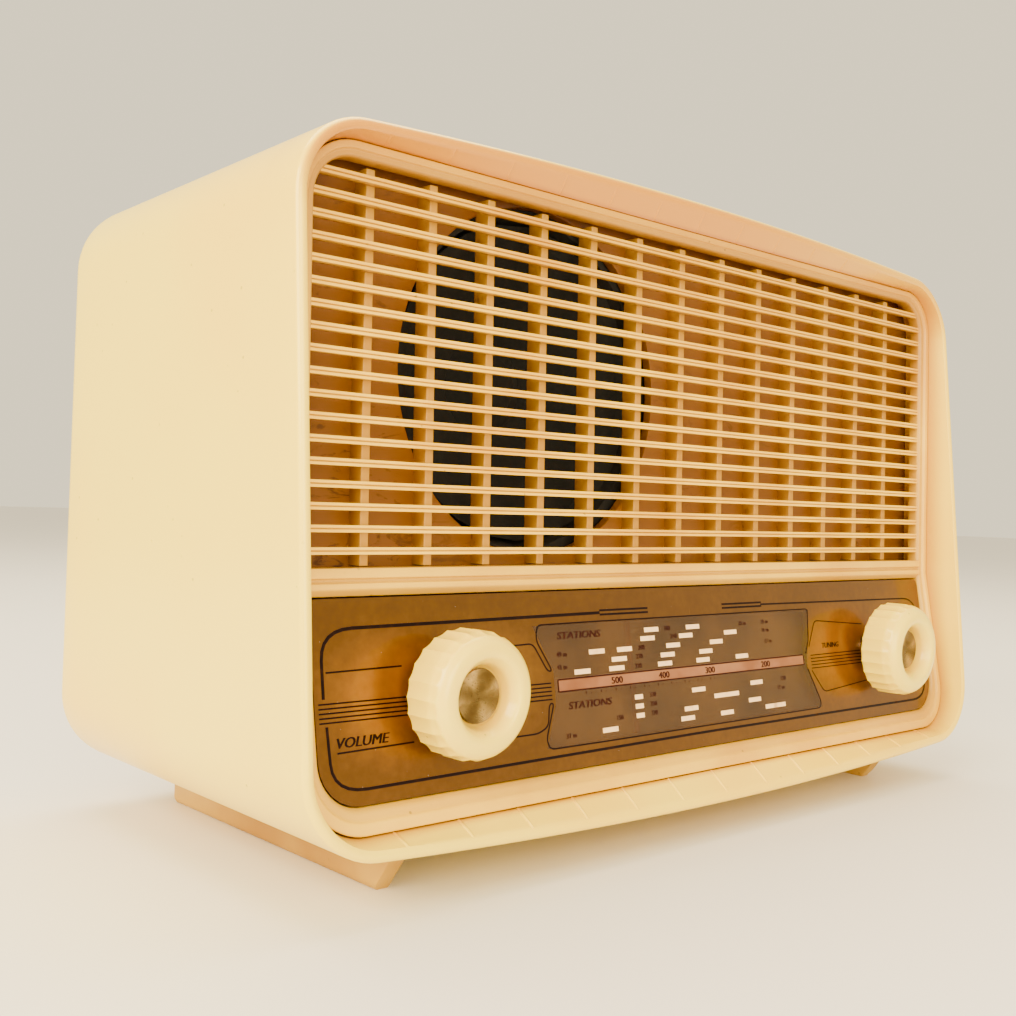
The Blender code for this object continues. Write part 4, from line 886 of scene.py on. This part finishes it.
def make_front_wall():
    """The wall behind the grille: straight lines from the loudspeaker's round hole to the outline."""
    edge = outline(HALF_WIDTH - 1.6 * MM, 74.4 * MM, 172.2 * MM, 18 * MM, 3.4 * MM, 0.8 * MM, SIDE_TAPER)
    centre = np.array([SPEAKER.x, SPEAKER.z])
    away = edge - centre
    away /= np.linalg.norm(away, axis=1, keepdims=True)
    round_off, half_round = 0.5 * MM, 0.15 * MM

    def at(points, setback):
        return ring(points, lambda z: behind_slats(z, setback))

    def hole(wider=0.0):
        return centre + away * (SPEAKER_HOLE + wider)

    rings = [
        at(hole(), WALL_FRONT + round_off), at(hole(half_round), WALL_FRONT + half_round),
        at(hole(round_off), WALL_FRONT), at(edge, WALL_FRONT), at(edge, WALL_BACK), at(hole(), WALL_BACK),
    ]
    piece("front_wall", [skin(np.stack(rings), loop=True)], BAFFLE_PLASTIC,
          stands_for=["cabinet_shell"])


def make_ribs():
    """Upright bars in front of the wall; the section is a tapered strip with a rounded nose."""
    section = smooth_profile([
        (0, 8.1), (1.3, 8.1), (1.2, 3.1), (-1.2, 3.1), (-1.3, 8.1), (0, 8.1),
    ], 0.35)[:-1] * MM
    parts = []
    heights = np.array([[75.2], [166.0]]) * MM
    for x in RIB_PLACES:
        points = [x + section[:, 0], behind_slats(heights, section[:, 1]), heights]
        parts.append(skin(np.stack(np.broadcast_arrays(*points), 2)))
    piece("grille_ribs", parts, RIB_PLASTIC, stands_for=["cabinet_shell"])


def make_grille():
    """Frame, rail and slats: profiles of inset or height and depth carried round or across."""
    frame_profile = smooth_profile([
        (0, 3.2), (0, -1.6), (2.0, -1.6), (2.4, -0.8), (3.7, -0.8), (4.4, 0.0), (4.4, 3.2),
    ], 0.45) * MM
    rings = [
        ring(frame_outline(inset), lambda z, back=back: recess_face(z) + back)
        for inset, back in frame_profile
    ]
    frame_parts = [skin(np.stack(rings), loop=True)]

    def across(profile, reach, depth, height):
        """A closed profile of (depth, height) carried from one side to the other."""
        y, z = np.asarray(profile).T
        sides = np.array([[-reach], [reach]])
        return skin(np.stack(np.broadcast_arrays(sides, depth + y, height + z), 2))

    reach = FRAME_HALF - FRAME_BAND + 1.5 * MM
    half = smooth_profile([(2.8, 0.0), (2.8, 0.76), (0.0, 0.84), (0.0, 0.26), (0.5, 0.0)], 0.2)[1:]
    slat = np.concatenate([half, half[-2::-1] * [1, -1]]) * MM
    slats = []
    for i in range(SLAT_COUNT):
        z = SLAT_FIRST + i * SLAT_PITCH
        ends = 0 if 0 < i < SLAT_COUNT - 1 else 0.6 * MM
        slats.append(across(slat, reach - ends, behind_slats(z), z))
    rail = smooth_profile([
        (3.4, 73.0), (3.4, 74.9), (-0.9, 74.9), (-1.2, 72.75), (-0.4, 72.45), (-0.4, 71.75),
        (-1.2, 71.45), (-1.2, 70.3), (0.3, 68.5), (2.2, 68.5), (3.4, 71.6), (3.4, 73.0),
    ], 0.3)[:-1] * MM
    frame_parts.append(across(rail, reach - MM, grille_face(KINK), 0))
    piece("grille_frame", frame_parts, FRAME_PLASTIC, stands_for=["front_grille"])
    piece("grille_slats", slats, SLAT_PLASTIC, stands_for=["front_grille"])


def make_runners():
    """Skids: a rounded upright section carried back, shrunk towards its middle at both ends to round
    them off. The front end is raked 9 over its own height."""
    rake, foremost = 9 * MM, 2.6 * MM
    corner = smooth_profile([
        (0.0, 12.0), (2.4, 12.0), (2.4, 1.3), (1.5, 0.0), (-2.4, 0.0), (-2.4, 12.0), (0.0, 12.0),
    ], 0.5)[:-1] * MM
    along = np.array([0, 0.15, 0.5, 1.2, 50.0, 98.2, 98.9, 99.25, 99.4]) / 99.4
    shrink = np.array([0.8, 0.3, 0.08, 0, 0, 0, 0.08, 0.3, 0.8]) * MM
    middle = np.array([0.0, 6.45 * MM])
    for name, side in (("left_runner", -1), ("right_runner", 1)):
        section = corner * [side, 1]
        inward = (middle - section) / np.linalg.norm(middle - section, axis=1, keepdims=True)
        inward[section[:, 1] < 0.2 * MM, 1] = 0  # the sole stays flat on the table
        shape = section[None] + inward[None] * shrink[:, None, None]
        x, z = shape[..., 0] + side * (RUNNER[0].x + RUNNER[1].x) / 2, shape[..., 1]
        front = DEPTH_ZERO + foremost - rake * z / RUNNER_HEIGHT
        y = front + (DEPTH_ZERO + RUNNER_BACK - front) * along[:, None]
        skid = skin(np.stack([x, y, z], 2))
        piece(f"{name}_skid", [skid], RUNNER_PLASTIC, stands_for=[name])


# ---------------------------------------------------------------- knobs


def fluting(radius, depth, angle):
    """Hollows between sharp ridges: the flutes' depth times one less the square of how far across a
    flute the angle is, fading out inwards over a millimetre of radius."""
    across = 2 * ((angle * FLUTES / (2 * math.pi)) % 1) - 1
    strength = np.clip(radius / MM - 13.7, 0, 1)
    strength = strength * strength * (3 - 2 * strength)
    return FLUTE_DEPTH * strength * (1 - across ** 2)


def make_knobs():
    """A turned knob with a recessed middle and fluted rim, and a brass disc in it.

    The disc's face is dished by the square of the radius, and turning grooves in it follow a sine
    of the radius.
    """
    profile = smooth_profile([
        (0, -17.2), (6.9, -17.2), (7.5, -20.0), (9.2, -22.2), (10.6, -22.4), (12.4, -22.0),
        (14.0, -20.4), (14.8, -18.0), (14.8, -10.4), (9.5, -9.6), (9.5, -7.4), (3.3, -7.4),
        (3.3, -15.5), (0, -15.5),
    ], 0.8, 7) * MM
    share = np.linspace(0.0, 1.0, 120)
    radius = 6.35 * share
    groove_depth, groove_pitch, edge_height = 0.012, 0.36, -0.35
    dish = -0.42 - 0.4 * share ** 2 + groove_depth * np.sin(2 * math.pi * radius / groove_pitch)
    face = np.where(share > 0.97, edge_height, dish)
    disc = np.concatenate([np.stack([radius, face], 1), [[6.35, 0.0], [0, 0.0]]]) * MM
    for body, centre in (("volume", KNOB_CENTRE), ("tuning", TUNING_CENTRE)):
        name = f"{body}_knob"
        axis = Vector((centre.x, DEPTH_ZERO, centre.z))
        knob = lathe(profile, axis, FLUTES * 10, fluting)
        piece(f"{name}_fluted", [knob], KNOB_PLASTIC, body, [name])
        seat = Vector((centre.x, DISC[1].y, centre.z))
        piece(f"{name}_disc_spun", [lathe(disc, seat, 96)], SPUN_BRASS, body, [f"{name}_disc"], 60)


# ---------------------------------------------------------------- print on the dial


PRINT_PROUD = 0.05 * MM


def glass_front(z):
    """Depth of the printed face."""
    return dial_face(z) + 0.2 * MM


def stroke(path, width):
    """A line on the glass: at each point of a path of x and z, half the width to both sides, square
    to the mean of the directions before and after and lengthened by one over the half turn's cosine."""
    path = np.asarray(path, float)
    step = np.diff(path, axis=0)
    step /= np.linalg.norm(step, axis=1, keepdims=True)
    before, after = np.vstack([step[:1], step]), np.vstack([step, step[-1:]])
    mean = before + after
    mean /= np.linalg.norm(mean, axis=1, keepdims=True)
    reach = width / 2 / np.maximum((mean * after).sum(1), 0.5)
    side = np.stack([-mean[:, 1], mean[:, 0]], 1) * reach[:, None]
    corners = [
        np.stack([edge[:, 0], glass_front(edge[:, 1]) + depth, edge[:, 1]], 1)
        for edge, depth in (
            (path + side, -PRINT_PROUD), (path - side, -PRINT_PROUD),
            (path - side, PRINT_PROUD), (path + side, PRINT_PROUD),
        )
    ]
    return skin(np.stack(corners, 1))


def line(points, width, radius=0.0):
    """A stroke through points given in millimetres, its corners rounded."""
    path = smooth_profile(points, radius, 7) if radius else np.asarray(points, float)
    return stroke(path * MM, width * MM)


def patch(x, z, width):
    """A blank bar on the glass, centred on x and z."""
    return line([(x - width / 2, z), (x + width / 2, z)], 1.25)


def bold(word, x, z, height, stretch=1.0, slant=0.0):
    """A word struck three times side by side, each a little prouder, sizes in millimetres."""
    return [
        lettering(word, (x + shift * 0.06 * height) * MM, z * MM, height * MM, stretch, slant, proud)
        for shift, proud in ((-1, 0.040 * MM), (0, 0.044 * MM), (1, 0.048 * MM))
    ]


def lettering(word, x, z, height, stretch, slant, proud):
    """A word on the glass: its letters' outlines as a thin solid, written from x along height z."""
    text = bpy.data.curves.new("word", "FONT")
    text.body, text.size, text.shear = word, height / 0.7, slant
    text.extrude, text.resolution_u = proud, 3
    holder = bpy.data.objects.new("word", text)
    bpy.context.collection.objects.link(holder)
    mesh = bpy.data.meshes.new_from_object(holder.evaluated_get(bpy.context.evaluated_depsgraph_get()))
    flat = np.empty(len(mesh.vertices) * 3)
    mesh.vertices.foreach_get("co", flat)
    u, v, w = flat.reshape(-1, 3).T
    faces = [list(face.vertices) for face in mesh.polygons]
    bpy.data.objects.remove(holder)
    bpy.data.curves.remove(text)
    bpy.data.meshes.remove(mesh)
    up = z + v
    return np.stack([x + u * stretch, glass_front(up) - w, up], 1), faces


def make_dark_lines():
    """The border round the dial, the rules at both sides, the pane's outline and the large words."""
    thick, thin, faint = 0.78, 0.40, 0.32
    printed = [
        line([(-125.6, 46.8), (-125.4, 61.6), (-37.3, 62.2)], thick, 8.5),
        line([(-125.2, 41.0), (-124.6, 26.9), (0, 27.4), (124.6, 26.9), (125.2, 41.0)], thick * 0.9, 9.0),
        line([(34.0, 62.2), (125.4, 61.6), (125.6, 46.8)], 0.5, 8.5),
    ]
    for start in (-37.3, 15.0):
        printed += [line([(start, z), (start + 19.3, z)], 0.55) for z in (61.7, 62.8)]
    printed += [line([(-124.6, 52.4), (-104, 52.6)], thin), line([(-122.9, 35.2), (-102, 35.5)], thin)]
    for k in range(5):
        z = 45.8 - k
        printed += [
            line([(-127.0, z), (-57.4, z - 0.5)], 0.36),
            line([(57.4, z - 0.3), (127.0, z - 0.3)], 0.3),
        ]
    printed += [
        line([
            (-88, 54.8), (-62.6, 55.4), (-58.2, 48.3), (-56.6, 48.3), (-61.4, 56.2), (-60.6, 59.9),
            (-40, 60.0), (58.6, 60.0), (57.0, 50), (54.8, 46.2),
        ], thin, 1.6),
        line([
            (-88, 33.4), (-63.2, 33.4), (-59.6, 34.8), (-58.6, 40.3), (-57.0, 40.3), (-60.6, 31.6),
            (-59.6, 29.2), (-40, 29.1), (59.4, 29.1), (60.4, 30.8), (55.2, 41.4),
        ], thin, 1.6),
        line([(89, 54.0), (61.6, 56.2), (57.0, 48.2)], faint, 1.6),
        line([(90, 35.8), (62.8, 33.8), (57.2, 40.8)], faint, 1.6),
    ]
    printed += bold("VOLUME", -123.4, 36.2, 2.2, 1.15, 0.25)
    printed += bold("TONE", -75.2, 47.2, 2.2, 1.1, 0.25)
    printed += bold("TUNING", 64.0, 47.4, 1.6, 1.1, 0.2)
    piece("dial_dark_lines", printed, DARK_INK)


def make_red_print():
    """The scale's border, ticks and numbers, and the wave bands' and lengths' small words."""
    low, high = (edge / MM for edge in SCALE_BAR)
    printed = [line([(0, low), (53.3, low), (53.3, high), (-54.9, high), (-54.9, low), (0, low)], 0.38, 0.3)]
    ticks = np.arange(-45.0, 12.0, 1.9)
    printed += [line([(x, 42.3 - 0.25 * (k % 3)), (x, 41.7)], 0.28) for k, x in enumerate(ticks)]
    for number, x in (("500", -35.2), ("400", -16.0), ("300", 4.2), ("200", 31.0)):
        printed += bold(number, x, 43.5, 1.75, 1.2)
    printed += bold("STATIONS", -54.0, 56.0, 1.8, 1.35, 0.15)
    printed += bold("STATIONS", -52.0, 38.3, 1.8, 1.35, 0.15)
    for x, z, word in (
        (-54.6, 51.6, "49 m"), (-54.8, 48.4, "41 m"), (-53.6, 31.2, "31 m"), (22.0, 56.4, "25 m"),
        (33.0, 56.4, "19 m"), (33.0, 53.9, "16 m"), (34.0, 50.6, "13 m"), (38.0, 36.4, "11 m"),
        (40.0, 39.0, "120"), (-34.5, 34.0, "150"), (-12.0, 56.4, "180"), (-9.6, 54.1, "210"),
        (-23.4, 51.7, "240"), (-24.6, 49.4, "270"), (-25.4, 46.9, "310"), (-20.6, 38.9, "330"),
        (-20.6, 36.5, "350"), (-20.6, 34.0, "370"),
    ):
        printed += bold(word, x, z, 1.25)
    piece("dial_red_print", printed, RED_INK)


def make_station_bars():
    """Blank bars where the stations' names go, by the height of each row, and a column of three."""
    rows = {
        56.9: (-17.3, 0.6), 54.6: (-19.2, -2.8, 17.7), 52.2: (-39.7, -28.9, -8.7, 10.7),
        49.75: (-31.3, -11.4, 5.5), 47.4: (-45.7, -32.6, -12.9, 3.8, 22.1), 39.3: (0.5, 27.8),
        36.9: (10.2, 15.8), 34.4: (-3.5, 26.1), 31.85: (-37.2, -5.4, 12.4, 34.0, 38.2),
    }
    bars = [patch(x, z, 5.9) for z, places in rows.items() for x in places]
    bars += [patch(-25.0, 39.3 - 2.45 * k, 3.2) for k in range(3)]
    piece("dial_station_bars", bars, PALE_INK)


# ---------------------------------------------------------------- back


def make_cover_screws():
    """Domed screw heads with a slot across the middle.

    The dome is its height times one less 0.55 of the square of the radius's share. The slot goes
    down by its depth where x is near the middle, with a smooth step at each side.
    """
    slot_depth, slot_edge, slot_bevel = 0.95 * MM, 0.62 * MM, 0.24 * MM
    share = np.linspace(0, 1, 30)[:, None]
    angle = np.linspace(0, 2 * math.pi, 120, endpoint=False)
    for i in range(1, 5):
        low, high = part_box(f"rear_screw_{i}")
        centre = (low + high) / 2
        radius, seat = (high.x - low.x) / 2, REAR + GAP
        x, z = radius * share * np.cos(angle), radius * share * np.sin(angle)
        inside = np.clip((slot_edge - np.abs(x)) / slot_bevel, 0, 1)
        dome = (high.y - seat) * (1 - 0.55 * share ** 2) - slot_depth * inside * inside * (3 - 2 * inside)
        head = np.stack([centre.x + x, seat + dome, centre.z + z], 2)
        shank = [
            np.stack([centre.x + r * np.cos(angle), np.full(len(angle), y), centre.z + r * np.sin(angle)], 1)
            for r, y in ((radius, seat), (1.5 * MM, seat), (1.5 * MM, low.y + 1.5 * MM), (0, low.y))
        ]
        points = np.concatenate([head, np.stack(shank)])
        part = points.reshape(-1, 3), grid_faces(len(points), len(angle), False, True)
        piece(f"cover_screw_{i}", [part], STEEL, stands_for=[f"rear_screw_{i}"], sharp=30)


# ---------------------------------------------------------------- floor, light and camera


def make_floor():
    """A wide pale sheet that the radio stands on, with the faintest mottling."""
    made = Finish("pale_floor", Roughness=0.55)
    made.feed(Base_Color=made.mix(made.noise(3.0, 4.0), (0.80, 0.76, 0.71), (0.84, 0.80, 0.75)))
    side = np.linspace(-6, 6, 25)
    x, y = np.meshgrid(side, side)
    points = np.stack([x, y, np.zeros_like(x)], 2).reshape(-1, 3)
    mesh = bpy.data.meshes.new("floor")
    mesh.from_pydata(points.tolist(), [], grid_faces(len(side), len(side), False, False).tolist())
    floor = bpy.data.objects.new("floor", mesh)
    bpy.context.collection.objects.link(floor)
    mesh.materials.append(made.material)


def area_light(name, place, target, width, height, power, colour):
    """A soft rectangular lamp that faces a target."""
    lamp = bpy.data.lights.new(name, "AREA")
    lamp.shape, lamp.size, lamp.size_y = "RECTANGLE", width, height
    lamp.energy, lamp.color = power, colour
    holder = bpy.data.objects.new(name, lamp)
    holder.location = place
    holder.rotation_mode = "QUATERNION"
    holder.rotation_quaternion = (Vector(target) - Vector(place)).to_track_quat("-Z", "Y")
    bpy.context.collection.objects.link(holder)


def make_light():
    """Warm light from a window on the left, from above and weakly from the front, and a warm sky."""
    area_light("window", (-1.3, -0.35, 0.75), (0, 0, 0.09), 1.1, 0.9, 50.0, (1.0, 0.88, 0.60))
    area_light("overhead", (0.1, 0.3, 1.3), (0, 0, 0.1), 1.4, 1.0, 33.0, (1.0, 0.88, 0.62))
    area_light("front_fill", (-0.55, -1.35, 0.45), (0, 0, 0.09), 1.0, 0.9, 24.0, (1.0, 0.87, 0.58))
    world = bpy.data.worlds.new("studio")
    world.use_nodes = True
    ground = world.node_tree.nodes["Background"]
    ground.inputs["Color"].default_value = (1.0, 0.87, 0.60, 1.0)
    ground.inputs["Strength"].default_value = 1.4
    bpy.context.scene.world = world


def make_camera():
    """Low on the left and close: 42 degrees round from the front, level, rolled by under 2 degrees."""
    lens = bpy.data.cameras.new("camera")
    lens.lens, lens.sensor_width = 42.52, 36.0
    lens.clip_start = 0.01
    camera = bpy.data.objects.new("camera", lens)
    heading, pitch, roll = (math.radians(a) for a in (-42.035, -0.144, 1.849))
    turned = (
        Matrix.Rotation(heading, 4, "Z") @ Matrix.Rotation(math.pi / 2 + pitch, 4, "X")
        @ Matrix.Rotation(roll, 4, "Z")
    )
    camera.matrix_world = Matrix.Translation((-0.27028, -0.27013, 0.09011)) @ turned
    bpy.context.collection.objects.link(camera)
    bpy.context.scene.camera = camera


dress_nodes()
make_cabinet()
make_mouth_lines()
make_front_wall()
make_ribs()
make_grille()
make_runners()
make_knobs()
make_dark_lines()
make_red_print()
make_station_bars()
make_cover_screws()
make_floor()
make_light()
make_camera()
